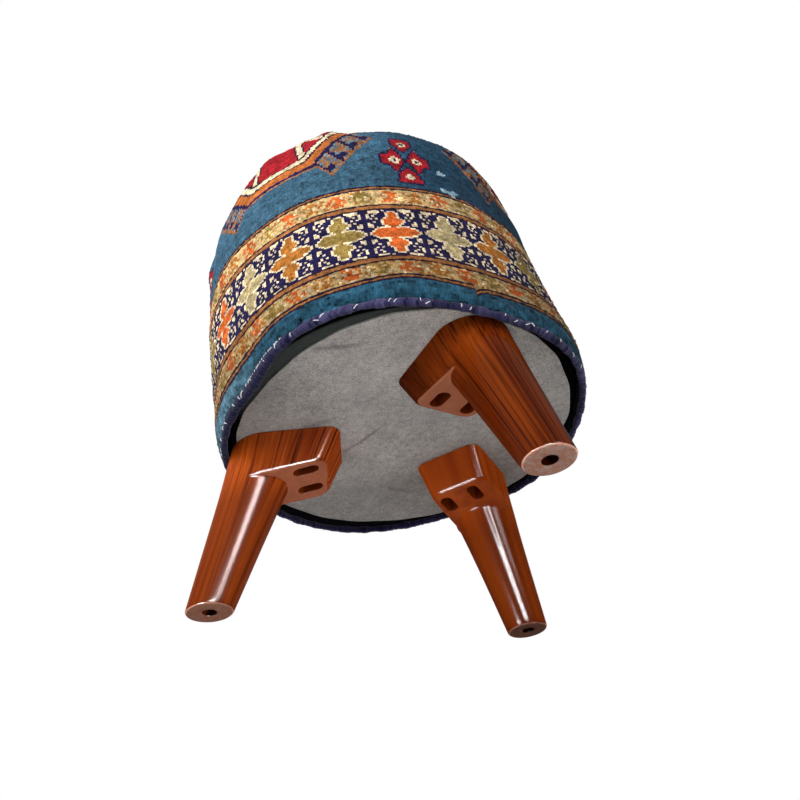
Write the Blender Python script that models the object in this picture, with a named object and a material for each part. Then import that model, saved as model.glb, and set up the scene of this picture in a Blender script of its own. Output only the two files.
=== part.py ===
# Carpet pouf: a rug-covered drum on three moulded splay legs with a wood look.
# Metres, +Z up. The origin is on the floor, on the axis of the drum.

from math import cos, pi, radians, sin, tau

import bmesh
import bpy
from mathutils import Matrix

# Fits and facets
CLEARANCE = 0.0003
WELD = 0.00001
DRUM_SIDES = 40
CROWN_STEPS = 12
HEM_STEPS = 10
LEG_ARC_STEPS = 16
EDGE_STEPS = 3
HOLE_SIDES = 12
SMOOTH_ANGLE = radians(40)

# Rug drum, measured on the outside of the rug
HEM_RADIUS = 0.1758
SIDE_TAPER = 0.002  # the side draws in this much from hem to shoulder
SHOULDER_RISE = 0.1938  # felt to shoulder
CROWN_RISE = 0.1200  # shoulder to the top of the crown
CROWN_POWER = 2.76  # 2 is an ellipse, more is squarer
GORE_COUNT = 8  # the crown is drawn in by as many darts, the first at azimuth 0
GORE_SWELL = 0.0055  # the middle of a gore stands this far above the darts beside it
GORE_FULLNESS = 2.5  # 2 is a round swelling, more is flatter in the middle
GORE_NARROW = 0.070  # nearer the axis than this the swelling shrinks with the radius
DART_DRAW = 0.0022  # a dart lies this far below the smooth crown
DART_START = 0.40  # darts begin at this share of the crown's rise
DART_FULL = 0.74  # and are at full depth from here up
CROWN_DIP = 0.006  # hollow in the middle, where the darts meet
CROWN_DIP_RADIUS = 0.042
RUG_THICKNESS = 0.009
HEM_DROP = 0.0088  # how far the hem hangs below the felt
HEM_ROLL_HEIGHT = 0.0078
HEM_ROLL_OVERHANG = 0.0006  # the roll stands this far proud of the rug on both sides

# Underside and frame
FELT_THICKNESS = 0.002
FELT_MARGIN = 0.008  # bare ring between felt and hem
LINING_THICKNESS = 0.001
BOARD_THICKNESS = 0.015
WALL_THICKNESS = 0.003
WADDING_THICKNESS = 0.004  # at the shoulder, where it is thinnest
TOP_BOARD_DROP = 0.005  # top board below the shoulder
POST_COUNT = 6
POST_SIDE = 0.030
POST_SETBACK = 0.012  # board edge to post
POST_CHAMFER = 0.002

# Legs
LEG_AZIMUTHS = {"leg_left": 180.0, "leg_rear": 60.0, "leg_front": 300.0}
LEG_HEIGHT = 0.150  # floor to felt
LEG_SPLAY = 0.0522  # how far the foot stands out from the head
HEAD_SETBACK = 0.005  # hem to the outer end of the head
HEAD_RADIUS = 0.034
NECK_RADIUS = 0.0286  # shank where it leaves the mounting plate
NECK_FILLET = 0.0025
FOOT_RADIUS = 0.0195
FOOT_EDGE_RADIUS = 0.0015
CORE_RADIUS = 0.006  # moulding core left open in the sole
CORE_DEPTH = 0.030
PLATE_THICKNESS = 0.033
PLATE_LENGTH = 0.069  # head centre to the inner end of the mounting plate
PLATE_WIDTH = 0.066
PLATE_DRAFT = 0.004  # sides and inner end draw in this much towards the lower face
PLATE_CORNER_RADIUS = 0.0115
PLATE_EDGE_RADIUS = 0.003
PLATE_TOP_BREAK = 0.0006
SIDE_BLEND = 0.006  # from the round head to where the straight side starts
POCKET_LENGTH = 0.023
POCKET_WIDTH = 0.0115
POCKET_SPACING = 0.030
POCKET_SETBACK = 0.006  # inner end of the plate's lower face to the pocket
POCKET_FLOOR = 0.008
POCKET_ARC_STEPS = 8

# Screws
LEG_SCREW_RADIUS = 0.0021
LEG_SCREW_HEAD_RADIUS = 0.004
LEG_SCREW_HEAD_HEIGHT = 0.0026
LEG_SCREW_COVER = 0.004  # wood left above the tip
POST_SCREW_RADIUS = 0.002
POST_SCREW_HEAD_RADIUS = 0.004
POST_SCREW_LENGTH = 0.040
SCREW_POINT = 0.004
HOLE_OVERRUN = 0.004  # cutters start and end this far outside the piece they cut

# Heights worked out from the sizes above
FELT_TOP = LEG_HEIGHT + FELT_THICKNESS
LINING_BOTTOM = FELT_TOP + CLEARANCE
LINING_TOP = LINING_BOTTOM + LINING_THICKNESS
FRAME_BOTTOM = LINING_TOP + CLEARANCE
BOTTOM_BOARD_TOP = FRAME_BOTTOM + BOARD_THICKNESS
SHOULDER_Z = LEG_HEIGHT + SHOULDER_RISE
FRAME_TOP = SHOULDER_Z - TOP_BOARD_DROP
TOP_BOARD_BOTTOM = FRAME_TOP - BOARD_THICKNESS
HEM_BOTTOM = LEG_HEIGHT - HEM_DROP
RUG_EDGE = HEM_BOTTOM + HEM_ROLL_HEIGHT + CLEARANCE
PLATE_BOTTOM = LEG_HEIGHT - PLATE_THICKNESS
POCKET_TOP = LEG_HEIGHT - POCKET_FLOOR
LEG_SCREW_TIP = BOTTOM_BOARD_TOP - LEG_SCREW_COVER

# Radii worked out from the sizes above
SHOULDER_RADIUS = HEM_RADIUS - SIDE_TAPER
HEM_INNER_RADIUS = HEM_RADIUS - RUG_THICKNESS - HEM_ROLL_OVERHANG
LINING_RADIUS = HEM_INNER_RADIUS - CLEARANCE
FELT_RADIUS = HEM_INNER_RADIUS - FELT_MARGIN
WALL_RADIUS = SHOULDER_RADIUS - RUG_THICKNESS - WADDING_THICKNESS - 2 * CLEARANCE
BOARD_RADIUS = WALL_RADIUS - WALL_THICKNESS - CLEARANCE
POST_CIRCLE_RADIUS = BOARD_RADIUS - POST_SETBACK - POST_SIDE / 2
HEAD_CIRCLE_RADIUS = HEM_INNER_RADIUS - HEAD_SETBACK - HEAD_RADIUS
POCKET_CIRCLE_RADIUS = (HEAD_CIRCLE_RADIUS + LEG_SPLAY * PLATE_THICKNESS / LEG_HEIGHT
                        - PLATE_LENGTH + PLATE_DRAFT + POCKET_SETBACK + POCKET_LENGTH / 2)


def make_material(name, colour, roughness, metallic=0.0):
    made = bpy.data.materials.new(name)
    made.use_nodes = True
    shader = made.node_tree.nodes["Principled BSDF"]
    shader.inputs["Base Color"].default_value = (*colour, 1.0)
    shader.inputs["Roughness"].default_value = roughness
    shader.inputs["Metallic"].default_value = metallic
    return made


def make_object(name, bm, finish, parent):
    """Turn a bmesh of closed bodies into a named object with its faces pointing out."""
    bmesh.ops.recalc_face_normals(bm, faces=bm.faces)
    mesh = bpy.data.meshes.new(name)
    bm.to_mesh(mesh)
    bm.free()
    mesh.shade_smooth()
    mesh.set_sharp_from_angle(angle=SMOOTH_ANGLE)
    mesh.materials.append(finish)
    made = bpy.data.objects.new(name, mesh)
    bpy.context.scene.collection.objects.link(made)
    made.parent = parent
    return made


def cut(piece, tool):
    """Take a guide body out of a piece."""
    tool.hide_render = True
    tool.display_type = "WIRE"
    modifier = piece.modifiers.new("cut " + tool.name, "BOOLEAN")
    modifier.operation = "DIFFERENCE"
    modifier.solver = "EXACT"
    modifier.object = tool


def turn(bm, profile, sides, ring, matrix=Matrix()):
    """Spin a profile of (radius, height) points about Z; a ring's profile is a closed loop."""
    points = [bm.verts.new((radius, 0.0, height)) for radius, height in profile]
    edges = [bm.edges.new(pair) for pair in zip(points, points[1:])]
    if ring:
        edges.append(bm.edges.new((points[-1], points[0])))
    before = set(bm.verts) - set(points)
    bmesh.ops.spin(bm, geom=points + edges, cent=(0, 0, 0), axis=(0, 0, 1), dvec=(0, 0, 0),
                   angle=tau, steps=sides, use_merge=True, use_duplicate=False)
    body = [vert for vert in bm.verts if vert not in before]
    bmesh.ops.transform(bm, matrix=matrix, verts=body)
    bmesh.ops.remove_doubles(bm, verts=body, dist=WELD)


def make_turned(name, profile, finish, parent, ring=False, sides=DRUM_SIDES):
    bm = bmesh.new()
    turn(bm, profile, sides, ring)
    return make_object(name, bm, finish, parent)


def make_drill(name, profile, places, parent):
    """One guide object with the same turned hole at several places."""
    bm = bmesh.new()
    for place in places:
        turn(bm, profile, HOLE_SIDES, False, place)
    return make_object(name, bm, guide, parent)


def join_rings(bm, lower, upper):
    """Wall of quads between two closed rings of as many points."""
    for index, corner in enumerate(lower):
        after = (index + 1) % len(lower)
        bm.faces.new((corner, lower[after], upper[after], upper[index]))


def add_ring(bm, points):
    return [bm.verts.new(point) for point in points]


def rug_radius(height, depth):
    """Radius of the straight side of the drum, measured at a depth inside the rug's face."""
    share = (height - RUG_EDGE) / (SHOULDER_Z - RUG_EDGE)
    return HEM_RADIUS + (SHOULDER_RADIUS - HEM_RADIUS) * share - depth


def crown_profile(depth):
    """Crown from its top to the shoulder, a squarish ellipse drawn in by a depth."""
    across = SHOULDER_RADIUS - depth
    rise = CROWN_RISE - depth
    points = [(0.0, SHOULDER_Z + rise)]
    for step in range(1, CROWN_STEPS + 1):
        angle = pi / 2 * (1 - step / CROWN_STEPS)
        radius = across * abs(cos(angle)) ** (2 / CROWN_POWER)
        height = SHOULDER_Z + rise * abs(sin(angle)) ** (2 / CROWN_POWER)
        points.append((radius, height))
    return points


def ease(low, high, value):
    """0 up to low, 1 from high on, and an S curve between."""
    share = min(1.0, max(0.0, (value - low) / (high - low)))
    return share * share * (3 - 2 * share)


def gore_relief(angle, radius, height):
    """How far the rug stands out from the smooth crown: gores swell between their darts."""
    place = (angle * GORE_COUNT / tau) % 1.0
    pillow = 1 - abs(2 * place - 1) ** GORE_FULLNESS
    reach = ease(DART_START, DART_FULL, (height - SHOULDER_Z) / CROWN_RISE)
    reach *= min(1.0, max(0.25, radius / GORE_NARROW))
    dip = CROWN_DIP * (1 - ease(0.0, CROWN_DIP_RADIUS, radius))
    return reach * (GORE_SWELL * pillow - DART_DRAW) - dip


def gored_crown(angle):
    """The rug's outside at one angle, each point moved along the smooth crown's normal."""
    smooth = crown_profile(0.0)
    points = []
    for index, (radius, height) in enumerate(smooth[1:], start=1):
        before, after = smooth[index - 1], smooth[min(index + 1, CROWN_STEPS)]
        run, drop = after[0] - before[0], before[1] - after[1]
        length = (run * run + drop * drop) ** 0.5
        relief = gore_relief(angle, radius, height)
        out = radius + relief * drop / length
        points.append((out * cos(angle), out * sin(angle), height + relief * run / length))
    return points


def make_rug(finish, parent):
    """The rug is one shell, open below: a crown of gores and the side, smooth inside."""
    bm = bmesh.new()
    angles = [tau * side / DRUM_SIDES for side in range(DRUM_SIDES)]
    columns = [gored_crown(angle) for angle in angles]
    outside = [add_ring(bm, [column[step] for column in columns]) for step in range(CROWN_STEPS)]
    smooth = crown_profile(RUG_THICKNESS)
    edges = [(rug_radius(RUG_EDGE, depth), RUG_EDGE) for depth in (0.0, RUG_THICKNESS)]
    inside = []
    for radius, height in edges + smooth[:0:-1]:
        circle = [(radius * cos(angle), radius * sin(angle), height) for angle in angles]
        inside.append(add_ring(bm, circle))
    rings = outside + inside
    for above, below in zip(rings, rings[1:]):
        join_rings(bm, above, below)
    top = SHOULDER_Z + CROWN_RISE + gore_relief(0.0, 0.0, SHOULDER_Z)
    for height, ring in ((top, rings[0]), (smooth[0][1], rings[-1])):
        middle = bm.verts.new((0.0, 0.0, height))
        for index, corner in enumerate(ring):
            bm.faces.new((corner, ring[(index + 1) % DRUM_SIDES], middle))
    make_object("carpet_cover", bm, finish, parent)


def make_hem(finish, parent):
    """Overcast edge of the rug, a flattened roll right round the opening."""
    across = RUG_THICKNESS / 2 + HEM_ROLL_OVERHANG
    rise = HEM_ROLL_HEIGHT / 2
    loop = []
    for step in range(HEM_STEPS):
        angle = tau * step / HEM_STEPS + pi / 2
        radius = HEM_RADIUS - RUG_THICKNESS / 2 - across * cos(angle)
        loop.append((radius, HEM_BOTTOM + rise + rise * sin(angle)))
    make_turned("hem_overcast", loop, finish, parent, ring=True)


def make_stuffing(parent):
    depth = RUG_THICKNESS + CLEARANCE
    base = FRAME_TOP + CLEARANCE
    dome = crown_profile(depth) + [(rug_radius(base, depth), base), (0.0, base)]
    make_turned("top_foam", dome, foam, parent)
    inner = WALL_RADIUS + CLEARANCE
    layer = [(rug_radius(FRAME_TOP, depth), FRAME_TOP), (rug_radius(FRAME_BOTTOM, depth), FRAME_BOTTOM),
             (inner, FRAME_BOTTOM), (inner, FRAME_TOP)]
    make_turned("side_wadding", layer, wadding, parent, ring=True)
    inner = WALL_RADIUS - WALL_THICKNESS
    wall = [(WALL_RADIUS, FRAME_TOP), (WALL_RADIUS, FRAME_BOTTOM),
            (inner, FRAME_BOTTOM), (inner, FRAME_TOP)]
    make_turned("side_wall", wall, hardboard, parent, ring=True)


def disc(radius, bottom, top):
    return [(0.0, top), (radius, top), (radius, bottom), (0.0, bottom)]


def hole(radius, bottom, top):
    return disc(radius + CLEARANCE, bottom, top)


def leg_turn(azimuth):
    return Matrix.Rotation(radians(azimuth), 4, "Z")


def screw_offsets():
    """Where a leg's two screws stand, in the leg's own frame, with X pointing outwards."""
    return [Matrix.Translation((POCKET_CIRCLE_RADIUS, side * POCKET_SPACING / 2, 0.0)) for side in (-1, 1)]


def post_places():
    outwards = Matrix.Translation((POST_CIRCLE_RADIUS, 0.0, 0.0))
    return [Matrix.Rotation(tau * index / POST_COUNT, 4, "Z") @ outwards for index in range(POST_COUNT)]


def countersunk(length):
    """Outline of a countersunk screw, head upwards, with its top face at height 0."""
    slope = POST_SCREW_HEAD_RADIUS - POST_SCREW_RADIUS
    return [(0.0, 0.0), (POST_SCREW_HEAD_RADIUS, 0.0), (POST_SCREW_RADIUS, -slope),
            (POST_SCREW_RADIUS, SCREW_POINT - length), (0.0, -length)]


def countersunk_hole(length):
    """The same outline, widened by the clearance and open above."""
    radius = POST_SCREW_RADIUS + CLEARANCE
    head = POST_SCREW_HEAD_RADIUS + CLEARANCE
    return [(0.0, HOLE_OVERRUN), (head, HOLE_OVERRUN), (head, -CLEARANCE),
            (radius, radius - head - CLEARANCE), (radius, -length - CLEARANCE), (0.0, -length - CLEARANCE)]


def make_underside(parent):
    """Felt and lining, each pierced where the leg screws pass."""
    places = [leg_turn(azimuth) @ offset for azimuth in LEG_AZIMUTHS.values() for offset in screw_offsets()]
    shank = hole(LEG_SCREW_RADIUS, POCKET_TOP, LEG_SCREW_TIP + CLEARANCE)
    shanks = make_drill("leg_screw_holes", shank, places, parent)
    under = disc(FELT_RADIUS, LEG_HEIGHT + CLEARANCE, FELT_TOP)
    over = disc(LINING_RADIUS, LINING_BOTTOM, LINING_TOP)
    cut(make_turned("felt_dust_cover", under, felt, parent), shanks)
    cut(make_turned("base_lining", over, lining, parent), shanks)
    return shanks


def make_boards(shanks, parent):
    """Two round boards with the posts between them, screwed through both."""
    lower = make_turned("bottom_board", disc(BOARD_RADIUS, FRAME_BOTTOM, BOTTOM_BOARD_TOP), board, parent)
    upper = make_turned("top_board", disc(BOARD_RADIUS, TOP_BOARD_BOTTOM, FRAME_TOP), board, parent)
    cut(lower, shanks)
    down = Matrix.Translation((0, 0, FRAME_TOP - CLEARANCE))
    up = Matrix.Translation((0, 0, FRAME_BOTTOM + CLEARANCE)) @ Matrix.Rotation(pi, 4, "X")
    drill = countersunk_hole(POST_SCREW_LENGTH)
    tops = make_drill("upper_post_holes", drill, [place @ down for place in post_places()], parent)
    bottoms = make_drill("lower_post_holes", drill, [place @ up for place in post_places()], parent)
    cut(upper, tops)
    cut(lower, bottoms)
    for index, place in enumerate(post_places(), start=1):
        post = make_post("frame_post_%d" % index, place, parent)
        cut(post, tops)
        cut(post, bottoms)
        for end, turned in (("upper", down), ("lower", up)):
            name = "post_%d_%s_screw" % (index, end)
            screw = make_turned(name, countersunk(POST_SCREW_LENGTH), zinc, parent, sides=HOLE_SIDES)
            screw.matrix_local = place @ turned


def make_post(name, place, parent):
    """Square batten with chamfered long edges."""
    bottom = BOTTOM_BOARD_TOP + CLEARANCE
    length = TOP_BOARD_BOTTOM - CLEARANCE - bottom
    bm = bmesh.new()
    bmesh.ops.create_cube(bm, size=1.0, matrix=Matrix.Diagonal((POST_SIDE, POST_SIDE, length, 1.0)))
    upright = [edge for edge in bm.edges if abs(edge.verts[0].co.z - edge.verts[1].co.z) > WELD]
    bmesh.ops.bevel(bm, geom=upright, offset=POST_CHAMFER, segments=1, affect="EDGES")
    post = make_object(name, bm, batten, parent)
    post.matrix_local = place @ Matrix.Translation((0, 0, bottom + length / 2))
    return post


def leg_centre(height):
    """How far the leg's slanted centre line stands from the drum's axis at a height."""
    return HEAD_CIRCLE_RADIUS + LEG_SPLAY * (LEG_HEIGHT - height) / LEG_HEIGHT


def shank_radius(height):
    return FOOT_RADIUS + (NECK_RADIUS - FOOT_RADIUS) * height / PLATE_BOTTOM


def arc(centre, radius, start, end, steps):
    """Points (x, y) along an arc, angles in degrees."""
    points = []
    for step in range(steps + 1):
        angle = radians(start + (end - start) * step / steps)
        points.append((centre[0] + radius * cos(angle), centre[1] + radius * sin(angle)))
    return points


def plate_outline(height, inset=0.0):
    """Round head of the leg first, then a side, the two inner corners and the other side."""
    share = (LEG_HEIGHT - height) / PLATE_THICKNESS
    middle = leg_centre(height)
    head = HEAD_RADIUS + (NECK_RADIUS - HEAD_RADIUS) * share
    half = PLATE_WIDTH / 2 - PLATE_DRAFT * share - inset
    inner = middle - PLATE_LENGTH + PLATE_DRAFT * share + inset
    corner = PLATE_CORNER_RADIUS - inset
    points = arc((middle, 0.0), head, -90, 90, LEG_ARC_STEPS)
    points.append((middle - SIDE_BLEND, half))
    points += arc((inner + corner, half - corner), corner, 90, 180, EDGE_STEPS)
    points += arc((inner + corner, corner - half), corner, 180, 270, EDGE_STEPS)
    points.append((middle - SIDE_BLEND, -half))
    return [(x, y, height) for x, y in points]


def shank_outline(height, radius, fillet=0.0):
    """A circle round the leg's centre line; its inner half widens where it meets the plate."""
    middle = leg_centre(height)
    points = []
    for step in range(2 * LEG_ARC_STEPS):
        angle = -pi / 2 + pi * step / LEG_ARC_STEPS
        reach = radius + fillet * max(0.0, -cos(angle)) ** 0.5
        points.append((middle + reach * cos(angle), reach * sin(angle), height))
    return points


def make_leg_body(name, finish, parent):
    """One skin from the mounting plate down the shank to the sole and up into the core hole."""
    bm = bmesh.new()
    top = plate_outline(LEG_HEIGHT)
    middle = leg_centre(LEG_HEIGHT)
    shrink = 1 - PLATE_TOP_BREAK / HEAD_RADIUS
    rings = [add_ring(bm, [(middle + (x - middle) * shrink, y * shrink, z) for x, y, z in top])]
    bm.faces.new(rings[0])
    rings.append(add_ring(bm, plate_outline(LEG_HEIGHT - PLATE_TOP_BREAK)))
    for step in range(EDGE_STEPS + 1):
        angle = pi / 2 * step / EDGE_STEPS
        height = PLATE_BOTTOM + PLATE_EDGE_RADIUS * (1 - sin(angle))
        rings.append(add_ring(bm, plate_outline(height, PLATE_EDGE_RADIUS * (1 - cos(angle)))))
    for above, below in zip(rings, rings[1:]):
        join_rings(bm, above, below)

    # The head's outer arc runs on as the shank, and the inner half circle starts on the lower face
    low = rings[-1]
    arc_points = low[:LEG_ARC_STEPS + 1]
    half_circle = shank_outline(PLATE_BOTTOM, NECK_RADIUS, NECK_FILLET)[LEG_ARC_STEPS + 1:]
    inner_points = add_ring(bm, half_circle)
    bm.faces.new([low[LEG_ARC_STEPS]] + low[LEG_ARC_STEPS + 1:] + [low[0]] + inner_points[::-1])
    rings = [arc_points + inner_points]
    for step in range(1, EDGE_STEPS + 1):
        angle = pi / 2 * step / EDGE_STEPS
        height = PLATE_BOTTOM - NECK_FILLET * (1 - cos(angle))
        widening = NECK_FILLET * (1 - sin(angle))
        rings.append(add_ring(bm, shank_outline(height, shank_radius(height), widening)))

    # Sole with a rounded edge, then the open core
    for step in range(EDGE_STEPS + 1):
        angle = pi / 2 * step / EDGE_STEPS
        height = FOOT_EDGE_RADIUS * (1 - sin(angle))
        radius = shank_radius(height) - FOOT_EDGE_RADIUS * (1 - cos(angle))
        rings.append(add_ring(bm, shank_outline(height, radius)))
    for height in (0.0, CORE_DEPTH):
        rings.append(add_ring(bm, shank_outline(height, CORE_RADIUS)))
    for above, below in zip(rings, rings[1:]):
        join_rings(bm, above, below)
    bm.faces.new(rings[-1])
    return make_object(name, bm, finish, parent)


def make_pockets(name, parent):
    """Guide for the two oblong screw pockets, open at the plate's lower face."""
    bm = bmesh.new()
    straight = (POCKET_LENGTH - POCKET_WIDTH) / 2
    for side in (-1, 1):
        y = side * POCKET_SPACING / 2
        ends = arc((POCKET_CIRCLE_RADIUS + straight, y), POCKET_WIDTH / 2, -90, 90, POCKET_ARC_STEPS)
        ends += arc((POCKET_CIRCLE_RADIUS - straight, y), POCKET_WIDTH / 2, 90, 270, POCKET_ARC_STEPS)
        lower = add_ring(bm, [(px, py, PLATE_BOTTOM - HOLE_OVERRUN) for px, py in ends])
        upper = add_ring(bm, [(px, py, POCKET_TOP) for px, py in ends])
        join_rings(bm, lower, upper)
        bm.faces.new(lower)
        bm.faces.new(upper)
    return make_object(name, bm, guide, parent)


def pan_head_screw():
    """Outline of a leg screw, tip upwards, with its domed head under the pocket's floor."""
    seat = POCKET_TOP - CLEARANCE
    low = seat - LEG_SCREW_HEAD_HEIGHT
    return [(0.0, LEG_SCREW_TIP), (LEG_SCREW_RADIUS, LEG_SCREW_TIP - SCREW_POINT), (LEG_SCREW_RADIUS, seat),
            (LEG_SCREW_HEAD_RADIUS, seat), (LEG_SCREW_HEAD_RADIUS, low + LEG_SCREW_HEAD_HEIGHT / 2),
            (LEG_SCREW_HEAD_RADIUS * cos(pi / 4), low), (0.0, low)]


def make_leg(name, azimuth, parent):
    """A leg turned to its azimuth, with its pockets, screw holes and two screws."""
    body = make_leg_body(name, lacquer, parent)
    body.matrix_local = leg_turn(azimuth)
    cut(body, make_pockets(name + "_pockets", body))
    through = hole(LEG_SCREW_RADIUS, POCKET_TOP - HOLE_OVERRUN, LEG_HEIGHT + HOLE_OVERRUN)
    cut(body, make_drill(name + "_screw_holes", through, screw_offsets(), body))
    for index, offset in enumerate(screw_offsets(), start=1):
        screw_name = "%s_screw_%d" % (name, index)
        screw = make_turned(screw_name, pan_head_screw(), black_steel, parent, sides=HOLE_SIDES)
        screw.matrix_local = leg_turn(azimuth) @ offset


for old in list(bpy.data.objects):
    bpy.data.objects.remove(old, do_unlink=True)

rug = make_material("rug_wool", (0.10, 0.14, 0.22), 0.95)
edge_yarn = make_material("edge_yarn", (0.045, 0.04, 0.13), 0.9)
felt = make_material("grey_felt", (0.26, 0.25, 0.23), 0.95)
lining = make_material("black_lining", (0.02, 0.024, 0.024), 0.9)
board = make_material("plywood", (0.55, 0.38, 0.22), 0.7)
batten = make_material("pine_batten", (0.62, 0.45, 0.27), 0.7)
hardboard = make_material("hardboard", (0.24, 0.13, 0.07), 0.8)
wadding = make_material("wadding", (0.75, 0.74, 0.70), 1.0)
foam = make_material("foam", (0.80, 0.74, 0.50), 0.95)
lacquer = make_material("leg_lacquer", (0.23, 0.045, 0.008), 0.2)
black_steel = make_material("black_steel", (0.02, 0.02, 0.02), 0.4, 1.0)
zinc = make_material("zinc_steel", (0.55, 0.55, 0.52), 0.35, 1.0)
guide = make_material("guide", (0.8, 0.1, 0.1), 1.0)

pouf = bpy.data.objects.new("pouf", None)
bpy.context.scene.collection.objects.link(pouf)
make_rug(rug, pouf)
make_hem(edge_yarn, pouf)
make_stuffing(pouf)
make_boards(make_underside(pouf), pouf)
for leg_name, leg_azimuth in LEG_AZIMUTHS.items():
    make_leg(leg_name, leg_azimuth, pouf)
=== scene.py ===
import math

import bmesh
import bpy
import numpy as np
from mathutils import Matrix, Vector, geometry


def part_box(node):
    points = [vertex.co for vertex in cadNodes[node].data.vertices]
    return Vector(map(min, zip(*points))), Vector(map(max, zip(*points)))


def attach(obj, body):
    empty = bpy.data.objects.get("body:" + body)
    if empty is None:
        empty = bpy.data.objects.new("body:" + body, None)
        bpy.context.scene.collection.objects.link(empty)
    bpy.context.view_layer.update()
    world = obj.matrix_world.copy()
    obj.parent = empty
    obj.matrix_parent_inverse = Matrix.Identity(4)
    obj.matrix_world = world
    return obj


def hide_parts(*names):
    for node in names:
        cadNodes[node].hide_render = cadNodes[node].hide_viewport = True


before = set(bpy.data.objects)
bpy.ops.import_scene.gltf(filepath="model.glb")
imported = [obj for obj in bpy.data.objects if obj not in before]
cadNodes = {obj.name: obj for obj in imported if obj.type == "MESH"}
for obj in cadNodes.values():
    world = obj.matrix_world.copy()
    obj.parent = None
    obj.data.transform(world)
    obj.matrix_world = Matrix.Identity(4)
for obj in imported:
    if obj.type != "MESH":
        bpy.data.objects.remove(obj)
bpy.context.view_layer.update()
print("frame loaded:", len(cadNodes), "CAD nodes")


# small tools for shapes

def smoothStep(low, high, value):
    # 0 below low, 1 above high, an S curve between
    t = np.clip((value - low) / (high - low), 0.0, 1.0)
    return t * t * (3 - 2 * t)


def bell(value, width):
    # 1 in the middle, dying out on both sides with the square of the distance
    return np.exp(-(value / width) ** 2)


def readOff(pairs, value):
    # straight lines between listed pairs of a place and what holds there
    return np.interp(value, *np.transpose(pairs))


def degreesFrom(theta, turn):
    # the shortest way round to each angle from a direction in degrees
    return np.degrees(np.angle(np.exp(1j * (theta - math.radians(turn)))))


def gridQuads(rows, columns, tube=False):
    # corner numbers of a grid of points that closes along its rows, counter-clockwise seen from the
    # side that has the columns running to the right and the rows upwards; a tube closes both ways
    row, column = np.meshgrid(np.arange(rows if tube else rows - 1), np.arange(columns), indexing="ij")
    up, after = (row + 1) % rows, (column + 1) % columns
    corners = [row * columns + column, row * columns + after, up * columns + after, up * columns + column]
    return np.stack(corners, -1).reshape(-1, 4)


def gridCorners(rows, columns):
    # the places of the corners of those quads, counted in columns and rows
    row, column = np.meshgrid(np.arange(rows), np.arange(columns), indexing="ij")
    corners = [np.stack([column + right, row + up], -1) for right, up in ((0, 0), (1, 0), (1, 1), (0, 1))]
    return np.stack(corners, 2).reshape(-1, 2)


def fanTriangles(ring, centre, flip=False):
    # triangles from a closed ring of point numbers to one centre point
    after = np.roll(ring, -1)
    pair = (after, ring) if flip else (ring, after)
    return np.stack([pair[0], pair[1], np.full(len(ring), centre)], -1)


def closedEnds(points, rows, columns, first, last):
    # two middle points and the fans that close the first and the last row of a grid
    ring = np.arange(columns)
    count = rows * columns
    fans = [fanTriangles(ring, count, True), fanTriangles(ring + count - columns, count + 1)]
    return np.concatenate([points.reshape(-1, 3), [first, last]]), fans


def makePiece(name, points, faces, material, replaced=(), sharp=None):
    # the arrays become a mesh object that rides on the frame
    mesh = bpy.data.meshes.new(name)
    faceList = [face for group in faces for face in np.asarray(group).tolist()]
    mesh.from_pydata(np.asarray(points).reshape(-1, 3).tolist(), [], faceList)
    mesh.shade_smooth()
    if sharp is not None:
        mesh.set_sharp_from_angle(angle=math.radians(sharp))
    mesh.materials.append(material)
    piece = bpy.data.objects.new(name, mesh)
    bpy.context.scene.collection.objects.link(piece)
    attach(piece, "root")
    if replaced:
        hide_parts(*replaced)
    return piece


def addValues(piece, name, kind, domain, values):
    # a named attribute for the piece's own material
    layer = piece.data.attributes.new(name, kind, domain)
    key = {"FLOAT": "value", "FLOAT_VECTOR": "vector", "FLOAT_COLOR": "color"}[kind]
    layer.data.foreach_set(key, np.ascontiguousarray(values, dtype=np.float32).ravel())


def addUv(piece, name, perCorner):
    layer = piece.data.uv_layers.new(name=name)
    layer.data.foreach_set("uv", np.ascontiguousarray(perCorner, dtype=np.float32).ravel())


def pointPlaces(piece):
    # the x, y and z of all points
    places = np.empty(len(piece.data.vertices) * 3)
    piece.data.vertices.foreach_get("co", places)
    return places.reshape(-1, 3).T


def tint(red, green, blue):
    # a colour as it looks on screen, turned into the renderer's own scale
    shown = np.array([red, green, blue]) / 255.0
    linear = np.where(shown <= 0.04045, shown / 12.92, ((shown + 0.055) / 1.055) ** 2.4)
    return (*[float(v) for v in linear], 1.0)


# tools for material nodes

def addNode(tree, kind, settings=None, inputs=None):
    # a node with its settings; an input takes a value or a link
    node = tree.nodes.new("ShaderNode" + kind)
    for key, value in (settings or {}).items():
        setattr(node, key, value)
    for key, value in (inputs or {}).items():
        if isinstance(value, bpy.types.NodeSocket):
            tree.links.new(value, node.inputs[key])
        else:
            node.inputs[key].default_value = value
    return node


def calc(tree, operation, first, second=0.0, clamp=False):
    settings = {"operation": operation, "use_clamp": clamp}
    return addNode(tree, "Math", settings, {0: first, 1: second}).outputs[0]


def times(tree, first, second, clamp=False):
    return calc(tree, "MULTIPLY", first, second, clamp)


def blendColours(tree, amount, first, second, way="MIX"):
    settings = {"data_type": "RGBA", "blend_type": way}
    return addNode(tree, "Mix", settings, {0: amount, 6: first, 7: second}).outputs[2]


def lightened(tree, colour, light):
    # the colour times a lightness
    grey = addNode(tree, "CombineColor", None, {0: light, 1: light, 2: light}).outputs[0]
    return blendColours(tree, 1.0, colour, grey, "MULTIPLY")


def spread(tree, value, low, high, outLow=0.0, outHigh=1.0):
    inputs = {"Value": value, "From Min": low, "From Max": high, "To Min": outLow, "To Max": outHigh}
    return addNode(tree, "MapRange", {"clamp": True}, inputs).outputs[0]


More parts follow.
